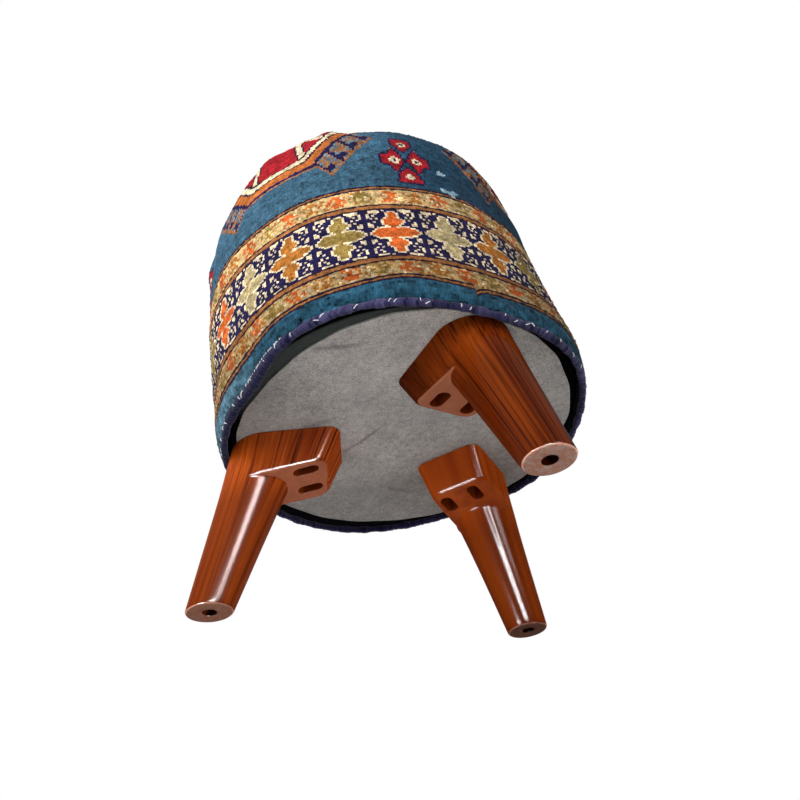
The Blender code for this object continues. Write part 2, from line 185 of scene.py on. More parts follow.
def stretched(tree, vector, scale, place=(0.0, 0.0, 0.0)):
    return addNode(tree, "Mapping", None, {"Vector": vector, "Scale": scale, "Location": place}).outputs[0]


def noise(tree, vector, scale, detail=2.0, rough=0.5, twist=0.0):
    inputs = {"Vector": vector, "Scale": scale, "Detail": detail, "Roughness": rough, "Distortion": twist}
    return addNode(tree, "TexNoise", None, inputs).outputs[0]


def objectPlace(tree):
    return addNode(tree, "TexCoord").outputs["Object"]


def ownValue(tree, name, output="Fac"):
    # the piece's own attribute of that name
    return addNode(tree, "Attribute", {"attribute_name": name}).outputs[output]


def newMaterial(name, constants):
    material = bpy.data.materials.new(name)
    material.use_nodes = True
    shader = material.node_tree.nodes["Principled BSDF"]
    for key, value in constants.items():
        shader.inputs[key].default_value = value
    return material, material.node_tree, shader


def dress(tree, shader, colour, height, strength, distance):
    # gives the shader its colour, and a bump from a height
    tree.links.new(colour, shader.inputs["Base Color"])
    bump = addNode(tree, "Bump", None, {"Strength": strength, "Distance": distance, "Height": height})
    tree.links.new(bump.outputs[0], shader.inputs["Normal"])


def newGroup(name, place, numbers, outputs):
    # a node group that takes a place and some numbers and puts out numbers
    group = bpy.data.node_groups.new(name, "ShaderNodeTree")
    group.interface.new_socket(name=place, in_out="INPUT", socket_type="NodeSocketVector")
    for label, value in numbers.items():
        socket = group.interface.new_socket(name=label, in_out="INPUT", socket_type="NodeSocketFloat")
        socket.default_value = value
    for label in outputs:
        group.interface.new_socket(name=label, in_out="OUTPUT", socket_type="NodeSocketFloat")
    source = group.nodes.new("NodeGroupInput").outputs
    sink = group.nodes.new("NodeGroupOutput").inputs
    return group, source, sink


def useGroup(tree, group, inputs):
    return addNode(tree, "Group", {"node_tree": group}, inputs).outputs


def makeWoolPile():
    # streaks of single fibres, soft patches, and a height that is rounded over each knot
    tree, source, sink = newGroup("woolPile", "Knots", {"Streak Width": 2.6}, ("Streak", "Patch", "Height"))
    knots = source["Knots"]
    across, along, _ = addNode(tree, "SeparateXYZ", None, {0: knots}).outputs
    thin = {0: times(tree, across, source["Streak Width"]), 1: times(tree, along, 0.55), 2: 0.0}
    streak = noise(tree, addNode(tree, "CombineXYZ", None, thin).outputs[0], 1.0, 3.0, 0.65)
    domes = [calc(tree, "ABSOLUTE", calc(tree, "SINE", times(tree, way, math.pi))) for way in (across, along)]
    dome = calc(tree, "POWER", times(tree, *domes), 0.5)
    tufts = noise(tree, stretched(tree, knots, (1.0, 0.6, 1.0)), 0.42, 3.0, 0.7)
    broad = noise(tree, knots, 0.09, 2.0, 0.55)
    patch = calc(tree, "ADD", times(tree, tufts, 0.65), times(tree, broad, 0.35))
    tree.links.new(streak, sink["Streak"])
    tree.links.new(patch, sink["Patch"])
    tree.links.new(calc(tree, "ADD", times(tree, dome, 0.5), streak), sink["Height"])
    return tree


def makeFeltFuzz():
    # fine fibre speckle, wide soft mottling and a fuzzy height
    tree, source, sink = newGroup("feltFuzz", "Place", {"Fibre Scale": 900.0},
                                  ("Speckle", "Mottle", "Height"))
    place = source["Place"]
    fine = noise(tree, place, source["Fibre Scale"], 2.0, 0.6)
    coarse = noise(tree, place, 210.0, 3.0, 0.65)
    speckle = calc(tree, "ADD", times(tree, fine, 0.6), times(tree, coarse, 0.4))
    tree.links.new(speckle, sink["Speckle"])
    tree.links.new(noise(tree, place, 28.0, 4.0, 0.65), sink["Mottle"])
    tree.links.new(calc(tree, "ADD", fine, coarse), sink["Height"])
    return tree


def makeWoodGrain():
    # lines along the third axis of the place it is given, stronger in some bundles than in others
    tree, source, sink = newGroup("woodGrain", "Place", {"Fine": 900.0, "Amount": 1.0},
                                  ("Dark Lines", "Pale Lines", "Height"))
    slim = stretched(tree, source["Place"], (1.0, 1.0, 0.012))
    bold = stretched(tree, source["Place"], (1.0, 1.0, 0.03), (0.31, 0.17, 0.05))
    lines = noise(tree, slim, source["Fine"], 3.0, 0.55)
    bundles = noise(tree, bold, 130.0, 2.0, 0.5)
    strength = times(tree, spread(tree, bundles, 0.34, 0.62, 0.25, 1.0), source["Amount"], True)
    tree.links.new(times(tree, spread(tree, lines, 0.47, 0.58), strength), sink["Dark Lines"])
    tree.links.new(spread(tree, noise(tree, slim, 420.0, 2.0, 0.5), 0.5, 0.72), sink["Pale Lines"])
    tree.links.new(lines, sink["Height"])
    return tree


woolPile = makeWoolPile()
feltFuzz = makeFeltFuzz()
woodGrain = makeWoodGrain()
print("node groups ready")


# camera, backdrop, floor and lamps

camera = {
    "focalPixels": 738.56,           # in an image that is 800 pixels wide
    "imagePixels": 800,
    "sensor": 36.0,                  # millimetres
    "distance": 0.7259,              # from the aim point
    "climb": 38.66,                  # degrees the view climbs: the pouf is seen from below
    "aimHeight": 0.18946,
    "roll": -9.87,
    "turn": -1.52,
    "nearest": 0.01,
}
climb, roll = math.radians(camera["climb"]), math.radians(camera["roll"])
ahead = Vector((0, math.cos(climb), math.sin(climb)))
right = Vector((1, 0, 0))
down = ahead.cross(right)
rightRolled = right * math.cos(roll) - down * math.sin(roll)
downRolled = right * math.sin(roll) + down * math.cos(roll)
stand = Vector((0, 0, camera["aimHeight"])) - camera["distance"] * ahead
aim = Matrix.Identity(4)
for axis, direction in enumerate((rightRolled, -downRolled, -ahead, stand)):
    aim.col[axis][:3] = direction
turned = Matrix.Rotation(math.radians(camera["turn"]), 4, "Z")
leanSide = np.array((turned @ right)[:3])
lens = bpy.data.cameras.new("camera")
lens.sensor_width = camera["sensor"]
lens.lens = camera["focalPixels"] / camera["imagePixels"] * camera["sensor"]
lens.clip_start = camera["nearest"]
cameraObject = bpy.data.objects.new("camera", lens)
cameraObject.matrix_world = turned @ aim
bpy.context.scene.collection.objects.link(cameraObject)
bpy.context.scene.camera = cameraObject
bpy.context.scene.view_settings.view_transform = "Standard"

backdrop = {
    "ambient": 0.15,
    "ambientTint": (1.0, 0.985, 0.96, 1.0),
    "white": (1.0, 1.0, 1.0, 1.0),
    "floorTints": ((0.84, 0.84, 0.835, 1.0), (0.88, 0.88, 0.875, 1.0)),
    "floorReach": 14.0,
}


def makeBackdrop():
    # white where it is seen or mirrored, a dim ambient light for everything else
    world = bpy.data.worlds.new("studio")
    bpy.context.scene.world = world
    world.use_nodes = True
    tree = world.node_tree
    tree.nodes.clear()
    path = addNode(tree, "LightPath").outputs
    seen = calc(tree, "ADD", path["Is Camera Ray"], path["Is Glossy Ray"])
    seen = calc(tree, "ADD", seen, path["Is Transmission Ray"], clamp=True)
    ambient = {"Color": backdrop["ambientTint"], "Strength": backdrop["ambient"]}
    glow = addNode(tree, "Background", None, ambient).outputs[0]
    white = addNode(tree, "Background", None, {"Color": backdrop["white"], "Strength": 1.0}).outputs[0]
    mixed = addNode(tree, "MixShader", None, {0: seen, 1: glow, 2: white})
    addNode(tree, "OutputWorld", None, {"Surface": mixed.outputs[0]})


def makeFloor():
    # a pale square that shows from above and lets the view and the lamps through from below
    material = bpy.data.materials.new("paleFloor")
    material.use_nodes = True
    tree = material.node_tree
    tree.nodes.clear()
    path = addNode(tree, "LightPath").outputs
    behind = addNode(tree, "NewGeometry").outputs["Backfacing"]
    passes = calc(tree, "MAXIMUM", behind, path["Is Shadow Ray"])
    shade = blendColours(tree, noise(tree, objectPlace(tree), 3.0, 2.0), *backdrop["floorTints"])
    pale = addNode(tree, "BsdfDiffuse", None, {"Color": shade}).outputs[0]
    clear = addNode(tree, "BsdfTransparent").outputs[0]
    mixed = addNode(tree, "MixShader", None, {0: passes, 1: pale, 2: clear})
    addNode(tree, "OutputMaterial", None, {"Surface": mixed.outputs[0]})
    reach = backdrop["floorReach"]
    mesh = bpy.data.meshes.new("floor")
    corners = [(x * reach, y * reach, 0) for x, y in ((-1, -1), (1, -1), (1, 1), (-1, 1))]
    mesh.from_pydata(corners, [], [(0, 1, 2, 3)])
    mesh.materials.append(material)
    floor = bpy.data.objects.new("floor", mesh)
    bpy.context.scene.collection.objects.link(floor)


lamps = {
    "keyFront": {"place": (-0.45, -1.25, 0.45), "aim": (0.0, 0.0, 0.25), "size": (0.7, 0.7), "power": 11.5},
    "lowFront": {"place": (0.05, -0.40, -0.55), "aim": (0.0, 0.0, 0.15), "size": (0.5, 0.5), "power": 4.5},
    "softTop": {"place": (-1.0, -0.5, 1.20), "aim": (0.0, 0.0, 0.35), "size": (1.0, 1.0), "power": 13.0},
    "backTop": {"place": (0.5, 1.3, 0.90), "aim": (0.0, 0.0, 0.25), "size": (1.0, 1.0), "power": 14.0},
    # these only show as gloss on the lacquered legs, and the others do not
    "glossRight": {"place": (0.54, -0.72, 0.03), "aim": (-0.15, 0.0, 0.06), "size": (0.30, 0.34),
                   "power": 82.0, "gloss": True},
    "glossWide": {"place": (0.12, -0.64, -0.22), "aim": (0.0, 0.05, 0.08), "size": (0.26, 0.28),
                  "power": 215.0, "gloss": True},
    "glossLow": {"place": (-0.42, -0.36, -0.53), "aim": (0.0, 0.0, 0.10), "size": (0.26, 0.44),
                 "power": 200.0, "gloss": True},
}


def makeLamps():
    for name, facts in lamps.items():
        lamp = bpy.data.lights.new(name, "AREA")
        lamp.shape = "RECTANGLE"
        lamp.size, lamp.size_y = facts["size"]
        lamp.energy = facts["power"]
        lampObject = bpy.data.objects.new(name, lamp)
        pointing = (Vector(facts["aim"]) - Vector(facts["place"])).to_track_quat("-Z", "Y")
        lampObject.matrix_world = Matrix.Translation(facts["place"]) @ pointing.to_matrix().to_4x4()
        bpy.context.scene.collection.objects.link(lampObject)
        lampObject.visible_diffuse = "gloss" not in facts
        lampObject.visible_glossy = "gloss" in facts


makeBackdrop()
makeFloor()
makeLamps()
print("camera, backdrop and", len(lamps), "lamps placed")


# the drum's shape, shared by the rug, the hem and what lies inside

drum = {
    "radius": 0.1758,
    "shoulderRadius": 0.1738,
    "shoulderHeight": 0.3438,
    "crownRise": 0.1200,
    "crownPower": 2.76,
    "profileSteps": 600,
    "slopeStep": 0.002,     # the profile's slope is taken over this length to both sides
    "rimLift": 0.0005,      # from the middle of the hem to the rim
    "shift": 0.0029,        # the stuffed drum stands a little off the legs' middle
    "lean": -0.0453,        # and leans by this much per metre of height
    "waveFade": 0.085,      # height over which the hem's wave dies out
    "calmRadius": 0.1,      # waves and stuffing die out inside this radius
    # waves of the hem round the drum, in mm: cosine and sine of 1, 2, 3... turns
    "waveOut": ((-2.2, 0.5), (-2.3, -0.2), (0.55, 2.0), (0.1, -1.1), (-1.5, 0.0)),
    "waveUp": ((1.3, 2.7), (0.1, 2.1), (0.6, 0.9), (1.4, -1.0)),
    # the hem pulled in at one place: angle and width in degrees, mm, and its fade in height
    "dent": {"turn": -138.0, "width": 11.5, "depth": 5.2, "fade": 0.026},
    # the stuffing at some heights: how far it pushes towards +x, and out both ways along x, in mm
    "stuffing": ((0.141, 0.0, 0.0), (0.152, -0.6, 2.0), (0.172, -0.6, 4.6), (0.210, -4.4, 2.6),
                 (0.260, -6.4, 0.9), (0.300, -7.6, 0.6), (0.330, -6.4, -1.0), (0.370, -3.0, -3.0),
                 (0.410, -2.5, -1.5), (0.464, -2.0, 0.0)),
    "smoothing": (-0.007, -0.0035, 0.0, 0.0035, 0.007),
    "wallFall": 40,         # how fast the clearance off the wall falls above it
    "wallSoftness": 0.0008,
}
hemLow, hemHigh = (np.array(v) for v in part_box("hem_overcast"))
rimHeight = float(hemLow[2] + hemHigh[2]) / 2 + drum["rimLift"]
crownTop = drum["shoulderHeight"] + drum["crownRise"]
girth = 2 * np.pi * drum["radius"]


def waveSum(theta, waves):
    # cosines and sines of whole turns, added up
    return sum(c * np.cos(k * theta) + s * np.sin(k * theta) for k, (c, s) in enumerate(waves, 1)) / 1000


def hemWave(theta):
    # how far the hem stands out and how high
    return waveSum(theta, drum["waveOut"]), waveSum(theta, drum["waveUp"])


def stuffing(theta, height):
    # the two pushes read off between the listed heights and smoothed, one going with
    # the cosine of the angle and the other with its square, less the dent
    heights, pushes, spreads = np.transpose(drum["stuffing"])
    near = [height + shift for shift in drum["smoothing"]]
    along = sum(np.interp(z, heights, pushes) for z in near) / len(near)
    both = sum(np.interp(z, heights, spreads) for z in near) / len(near)
    dent = drum["dent"]
    pulled = dent["depth"] * bell(degreesFrom(theta, dent["turn"]), dent["width"])
    pulled = pulled * bell(np.maximum(0.0, height - rimHeight), dent["fade"])
    return (along * np.cos(theta) + both * np.cos(theta) ** 2 - pulled) / 1000


def drumProfile(count):
    # length, radius and height along the outside from the hem's lower edge to the crown:
    # a straight taper to the shoulder, then a superellipse quarter
    shoulder = drum["shoulderHeight"]
    wall = np.linspace(float(hemLow[2]), shoulder, count // 2)
    share = (wall - rimHeight) / (shoulder - rimHeight)
    wallRadius = drum["radius"] + (drum["shoulderRadius"] - drum["radius"]) * share
    angle = np.linspace(0, np.pi / 2, count)[1:]
    power = 2 / drum["crownPower"]
    crownRadius = drum["shoulderRadius"] * np.abs(np.cos(angle)) ** power
    crown = shoulder + (crownTop - shoulder) * np.abs(np.sin(angle)) ** power
    radius = np.concatenate([wallRadius, crownRadius])
    height = np.concatenate([wall, crown])
    radius[-1] = 0.0
    length = np.concatenate([[0.0], np.cumsum(np.hypot(np.diff(radius), np.diff(height)))])
    return length, radius, height


profileLength, profileRadius, profileHeight = drumProfile(drum["profileSteps"])


def radiusAt(length):
    return np.interp(length, profileLength, profileRadius)


def heightAt(length):
    return np.interp(length, profileLength, profileHeight)


def placed(theta, radius, height, moved):
    # points round the axis, moved sideways
    x = radius * np.cos(theta) + moved * leanSide[0]
    y = radius * np.sin(theta) + moved * leanSide[1]
    return np.stack(np.broadcast_arrays(x, y, height), -1)


def drumPoints(theta, length, inset=0.0, rise=0.0):
    # a point at an angle and a length up the profile, pushed in by inset along the
    # profile's normal, then waved at the hem, shifted and leaned
    step = drum["slopeStep"]
    slopeRadius = radiusAt(length + step) - radiusAt(length - step)
    slopeHeight = heightAt(length + step) - heightAt(length - step)
    size = np.hypot(slopeRadius, slopeHeight) + 1e-12
    radius = np.maximum(radiusAt(length) - inset * slopeHeight / size, 0.0)
    height = heightAt(length) + inset * slopeRadius / size + rise
    out, up = hemWave(theta)
    fade = 1 / (1 + ((height - rimHeight) / drum["waveFade"]) ** 2)
    calm = np.clip(radius / drum["calmRadius"], 0, 1)
    radius = radius + (out * fade + stuffing(theta, height)) * calm
    height = height + up * fade
    return placed(theta, radius, height, drum["shift"] + drum["lean"] * (height - rimHeight))


def offTheWall(points, gap):
    # moves points that lie nearer than the gap to the hardboard wall straight out from the axis, with
    # a softened maximum of the two radii; above the wall the wanted radius falls, faster with height
    low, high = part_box("side_wall")
    radius = np.maximum(np.hypot(points[..., 0], points[..., 1]), 1e-6)
    above = np.maximum(0.0, points[..., 2] - high[2])
    wanted = (high[0] - low[0]) / 2 + gap - above - drum["wallFall"] * above ** 2
    grown = (radius + wanted + np.sqrt((radius - wanted) ** 2 + drum["wallSoftness"] ** 2)) / (2 * radius)
    return points * np.stack([grown, grown, np.ones_like(grown)], -1)


# the rug: its pattern is in mm along it and up from the hem's lower edge

rug = {
    "columns": 480,                  # knots round the drum
    "rowHeight": 0.00215,
    "thickness": 0.0065,
    "firstRow": 0.0060,              # the pile starts above the overcast hem
    "lastGap": 0.006,                # and ends this far from the crown's middle
    "clearance": (0.0020, 0.0008),   # of its outside and its inside off the wall
    # rows of the inside, as shares of the length
    "insideRows": (1.0, 0.97, 0.92, 0.85, 0.78, 0.70, 0.62, 0.52, 0.40, 0.25, 0.10, 0.019),
    "capDepth": (0.001, 0.002),      # the inside's middle stands higher and the outside's lower by this
    "seed": 21,
    # gores swell between darts, over this share of the crown, less towards its middle
    "gores": {"count": 8, "swell": 0.0055, "fullness": 2.5, "draw": 0.0022, "rise": (0.40, 0.74),
              "groove": (0.0012, 0.003), "fullRadius": 0.070, "least": 0.25},
    "crownDip": (0.006, 0.042),      # depth and radius of the hollow middle
    # long waves of the stuffing: height, turns round, turns per metre up and where they start
    "swells": ((1.0, 5, 9, 0.6), (1.0, 9, -23, 2.0), (0.8, 14, 41, 4.1), (0.7, 3, -60, 0.0)),
    "swellHeight": (0.0003, 0.0004), "swellRise": (150, 260),
    # lumps in the stuffing: place along the rug and up it, two widths and the height
    "lumps": ((-372, 268, 12, 25, 3.2), (-342, 269, 10, 20, -1.8), (-298, 272, 11, 22, 3.6),
              (-251, 270, 24, 30, -4.0), (-76, 222, 48, 42, -2.2), (-500, 214, 20, 14, 4.6),
              (-508, 156, 40, 16, -2.8), (-507, 52, 36, 24, -2.2)),
    "edgeRoll": (0.0026, 6, 16),     # the edge rolls under between these heights
    # the lowest band is fuller at one place, and has a sewn-in tuck at another
    "fuller": {"at": -258.0, "width": 30, "rise": 0.0050, "from": (9, 20), "to": (30, 100)},
    "tuck": {"at": -205.0, "width": 1.8, "depth": 0.0022, "drop": 0.0042, "reach": 10, "to": (24, 42)},
    "pile": (0.0003, 0.00016),       # how unevenly the pile stands and lies
    # bands from the hem upwards: the upper edge and the wool
    "bands": ((21.2, "teal"), (23.3, "plum"), (26.2, "ochre"), (28.4, "plum"), (45.4, "cream"),
              (47.6, "plum"), (51.2, "ochre"), (53.2, "plum"), (118.8, "navy"),
              (121.0, "plum"), (124.6, "ochre"), (127.0, "plum"), (146.9, "cream"),
              (149.0, "plum"), (152.2, "ochre"), (154.0, "plum")),
    # border crosses: half height of the bar and half width of the lobes, read off along them
    "cross": {"middle": 85.5, "start": -259.6, "count": 24, "wools": ("orange", "beige", "tan", "olive"),
              "barReach": 19.6, "bar": ((13.9, 6.6), (14, 5.0), (16.9, 5.0), (17, 3.0)), "lobeReach": 28.2,
              "lobe": ((6, 2.9), (8.6, 2.9), (11, 5.6), (14.5, 8.2), (17, 8.2), (20, 5.6), (22.6, 3.1),
                       (28, 3.1))},
    # strokes between two crosses: from and to out from the middle line, and up or down from its middle
    "strokes": ((4, 14.4, 29, 31.4), (2.2, 4.4, 22.4, 28), (4.6, 7, 19, 21.2), (9.8, 12.2, 19.6, 21.8),
                (7, 9.4, 16, 18.2), (2, 7.2, 9.6, 12), (2, 4.2, 9.6, 15.2), (6.8, 9, 24, 26.2),
                (9, 11.4, 25.6, 27.8), (11.6, 13.8, 13, 15.4), (14.6, 17, 30.6, 33), (17.2, 19.4, 24.8, 29),
                (0, 2.2, 31.8, 34)),
    # guard arches, each drawn on this height; every so many, from the first, has the wool
    "arch": {"height": 18.5, "start": 2.5, "loose": (1.1, 0.7), "halfWidth": 8.8, "rise": 11.0, "spring": 6.5,
             "hollow": 0.42, "roofFrom": 7.5, "stem": (1.7, 3.5, 15), "footGap": 1.5, "footSplay": 0.75,
             "footHalf": 1.7, "footLow": 0.8, "wools": ((2, 0, "orange"), (4, 1, "tan"), (4, 3, "olive")),
             "tanFrom": (1.2, 1.75), "ivoryFrom": 2.1},
    "repeats": 4,                    # of the medallions and of the flowers, round the drum
    # stretched octagons; rings by how far a knot lies outside the edge, from the outside in
    "medallion": {"start": -357.0, "middle": 292.0, "halfHeight": 90.0, "halfEnd": 41.0, "halfWidth": 86.0,
                  "slant": (0.788, 0.616), "lowest": 156,
                  "rings": ((3.4, "ochre"), (0.0, "navy"), (-4.6, "rust"), (-14.5, "plum"), (-17.2, "ivory"),
                            (-23.4, "plum"), (-26.4, "red"))},
    # the hooked bracket on each slant
    "bracket": {"depth": 26.5, "skew": 0.35, "length": 66, "pitch": 20.5, "slateFrom": -0.1, "speckleFrom": 5,
                "bar": 4.4, "hook": 12, "hookFrom": 15, "hookTo": 22, "rimFrom": 23.8, "endTo": 1.8},
    # bars inside the medallion: where they start, how they are spaced, and their half widths
    "bars": {"corner": 26.5, "cornerSlope": 0.15, "cornerHeight": 63.6, "overlap": 2.4, "first": 15,
             "pitch": 34, "middle": 3.0, "cornerReach": 12, "slantFrom": 40, "ring": -56, "dark": 5.4,
             "pale": 3.2, "diamond": (20.5, -40, 5.0), "diamondFrom": 9},
    # four flowers in a cluster: two at the sides, one above and one below, with their eyes and dots
    "flowers": {"start": -230.0, "middle": 197.5, "sideOut": 11.2, "diamond": (9.4, 18.5),
                "block": (2, 11.6, 7.6), "sideEye": (6.4, 2.4), "eye": (5.4, 1.6), "reach": (27, 38),
                "ends": ((26.5, ((15.5, 1.5), (25, 9.6), (35.5, 9.6))),
                         (-25.5, ((-33.5, 11), (-23, 9.6), (-12.5, 1.5)))),
                "stripSlope": 0.62, "stripStart": 1.0, "stripHalf": 1.8, "stripReach": 20},
    "wornSpots": ((-196, 188, 4.2), (-199, 160, 3.4), (-192, 157, 4.4), (-188, 160, 3.0)),
    "patternSeed": 5,
    "narrowFrom": 250,               # above this the pattern narrows with the gores
    # painted sheen and light: paler on one side, deeper on the other; the wool, the paler one, the direction,
    # and cosines from and to
    "paintedSheenSide": (("field", "paintedSheen", -130.0, 0.45, 0.80), ("teal", "paintedSheenTeal", -165.0, 0.80, 0.99)),
    # how the dye varies: from knot to knot, row to row, in tufts, and from column to column
    "dye": {"knots": 0.15, "rows": 0.035, "tufts": 0.12, "tealTufts": 0.14, "columns": 0.03,
            "bands": 0.05, "bandHeight": 17.0, "bandSway": 0.7},
    # what is darker: the field by the guard, as painted shade, all wool by the hem, and the lower guard
    "darkening": {"field": (0.20, 165, 230), "hem": (0.17, 30, 62), "guard": (0.24, 22, 28, 42, 60)},
}
wools = {
    "field": (34, 72, 98), "teal": (38, 80, 102), "navy": (30, 24, 66), "cream": (198, 168, 116),
    "ochre": (154, 99, 54), "ivory": (224, 206, 172), "orange": (202, 96, 40), "tan": (170, 106, 42),
    "olive": (144, 120, 62), "beige": (178, 160, 118), "red": (158, 25, 35), "slate": (98, 120, 132),
    "rust": (178, 100, 46), "worn": (150, 178, 196), "plum": (34, 20, 44), "paintedSheen": (64, 102, 126),
    "paintedSheenTeal": (84, 120, 138), "backing": (20, 18, 24),
}
woolNumber = {name: number for number, name in enumerate(wools)}
rugLength = girth * 1000
crossPitch = rugLength / rug["cross"]["count"]


def grow(mask):
    # the mask and every knot beside, above or below it
    wide = mask | np.roll(mask, 1, 1) | np.roll(mask, -1, 1)
    wide[1:] |= mask[:-1]
    wide[:-1] |= mask[1:]
    return wide


def bandSpans(wool):
    # from and to of every band in that wool
    edges = [0.0] + [top for top, _ in rug["bands"]]
    return [(low, top) for low, (top, name) in zip(edges, rug["bands"]) if name == wool]


def fromRepeat(x, start):
    # the way along the rug from the nearest repeat of a pattern
    repeat = rugLength / rug["repeats"]
    return (x - start + repeat / 2) % repeat - repeat / 2


def crossShape(dx, dy):
    # a bar with stepped ends and a lobe with a block tip above and below
    shape = rug["cross"]
    bar = (dx <= shape["barReach"]) & (dy <= readOff(shape["bar"], dx))
    return bar | ((dy <= shape["lobeReach"]) & (dx <= readOff(shape["lobe"], dy)))


def fillerStrokes(dm, dy):
    # all the boxes of the strokes together
    boxes = [(dm >= near) & (dm < far) & (dy >= low) & (dy < high) for near, far, low, high in rug["strokes"]]
    return np.logical_or.reduce(boxes)


def paintBorder(wool, x, y):
    # crosses in four wools, outlined in ivory on navy, with strokes between them
    shape = rug["cross"]
    low, high = bandSpans("navy")[0]
    index = np.floor((x - shape["start"]) / crossPitch + 0.5)
    dx = np.abs(x - shape["start"] - index * crossPitch)
    dy = np.abs(y - shape["middle"])
    border = (y > low) & (y < high)
    cross = crossShape(dx, dy) & border
    outline = grow(cross) & ~cross & border
    strokes = fillerStrokes(crossPitch / 2 - dx, dy) & border & ~grow(outline)
    wool[strokes | outline] = woolNumber["ivory"]
    for turn, name in enumerate(shape["wools"]):
        wool[cross & (index % len(shape["wools"]) == turn)] = woolNumber[name]


def guardMotif(gx, gy):
    # an arch over a stem with two splayed feet; gx from its middle, gy up from its foot
    shape = rug["arch"]
    spring = shape["spring"]
    oval = (gx / shape["halfWidth"]) ** 2 + ((gy - spring) / shape["rise"]) ** 2
    roof = (oval < 1.0) & (oval > shape["hollow"]) & (gy > shape["roofFrom"])
    half, low, high = shape["stem"]
    stem = (gx < half) & (gy > low) & (gy < high)
    splayed = np.abs(gx - shape["footGap"] - shape["footSplay"] * (spring - gy))
    feet = (splayed < shape["footHalf"]) & (gy < spring) & (gy > shape["footLow"])
    return roof | stem | feet


def paintGuards(wool, x, y, shake):
    # ragged arches, hanging in the lower guard and upright in the upper one, on sprinkled cream
    shape = rug["arch"]
    half = crossPitch / 2
    looseX = x + shape["loose"][0] * shake[0] - rug["cross"]["start"] - shape["start"]
    looseY = y + shape["loose"][1] * shake[1]
    turn = np.floor(looseX / half + 0.5)
    gx = np.abs(looseX - turn * half)
    for (low, high), upright, tanFrom in zip(bandSpans("cream"), (False, True), shape["tanFrom"]):
        guard = (y > low) & (y < high)
        wool[guard & (shake[0] + shake[1] > tanFrom)] = woolNumber["tan"]
        wool[guard & (shake[0] - shake[1] > shape["ivoryFrom"])] = woolNumber["ivory"]
        gy = (looseY - low if upright else high - looseY) * shape["height"] / (high - low)
        motif = guardMotif(gx, gy) & guard
        for every, first, name in shape["wools"]:
            wool[motif & (turn % every == first)] = woolNumber[name]


def medallionEdge(dx, dy):
    # how far a knot lies outside the octagon, the largest of its distances past the end, the slant
    # and the side; then its distance past the slant and the way along that
    shape = rug["medallion"]
    across, up = shape["slant"]
    pastEnd, pastCorner = dy - shape["halfHeight"], dx - shape["halfEnd"]
    slant = pastCorner * across + pastEnd * up
    edge = np.maximum(np.maximum(pastEnd, slant), dx - shape["halfWidth"])
    return edge, slant, pastCorner * up - pastEnd * across


def paintMedallions(wool, x, y, shake):
    # rings, then the bracket's bars and hooks, then ivory bars that run inwards from the corners
    # and, along the slants, to a second ring; past the first bar each cell holds a navy diamond
    shape, bracket, bars = rug["medallion"], rug["bracket"], rug["bars"]
    dx, dy = np.abs(fromRepeat(x, shape["start"])), np.abs(y - shape["middle"])
    edge, slant, run = medallionEdge(dx, dy)
    above = y > shape["lowest"]
    for outer, name in shape["rings"]:
        wool[above & (edge < outer)] = woolNumber[name]

    step = run + bracket["skew"] * slant
    strip = above & (edge > 0) & (slant < bracket["depth"]) & (step > 0) & (run < bracket["length"])
    unit = step % bracket["pitch"]
    hook = (unit < bracket["hook"]) & (slant > bracket["hookFrom"]) & (slant < bracket["hookTo"])
    wool[strip] = woolNumber["slate"]
    wool[strip & (shake[0] > bracket["slateFrom"]) & (unit > bracket["speckleFrom"])] = woolNumber["ochre"]
    wool[strip & ((unit < bracket["bar"]) | hook)] = woolNumber["navy"]
    wool[strip & ((slant > bracket["rimFrom"]) | (step < bracket["endTo"]))] = woolNumber["ochre"]

    far = 99.0
    pastCorner = dx - bars["corner"] + bars["cornerSlope"] * (bars["cornerHeight"] - dy)
    core = above & (edge < shape["rings"][-1][0]) & (pastCorner > -bars["overlap"])
    cell = (run - bars["first"]) % bars["pitch"]
    ring = np.where(pastCorner > 0, np.abs(edge - bars["ring"]), far)
    slantBar = np.where(run > bars["slantFrom"], np.abs(cell - bars["middle"]), far)
    spoke = np.where(pastCorner < bars["cornerReach"], np.abs(pastCorner - bars["middle"]), slantBar)
    bar = np.minimum(spoke, ring)
    along, inwards, size = bars["diamond"]
    diamond = np.abs(cell - along) + np.abs(edge - inwards) < size
    wool[core & (bar < bars["dark"])] = woolNumber["plum"]
    wool[core & (bar < bars["pale"])] = woolNumber["ivory"]
    wool[core & diamond & (pastCorner > bars["diamondFrom"])] = woolNumber["navy"]


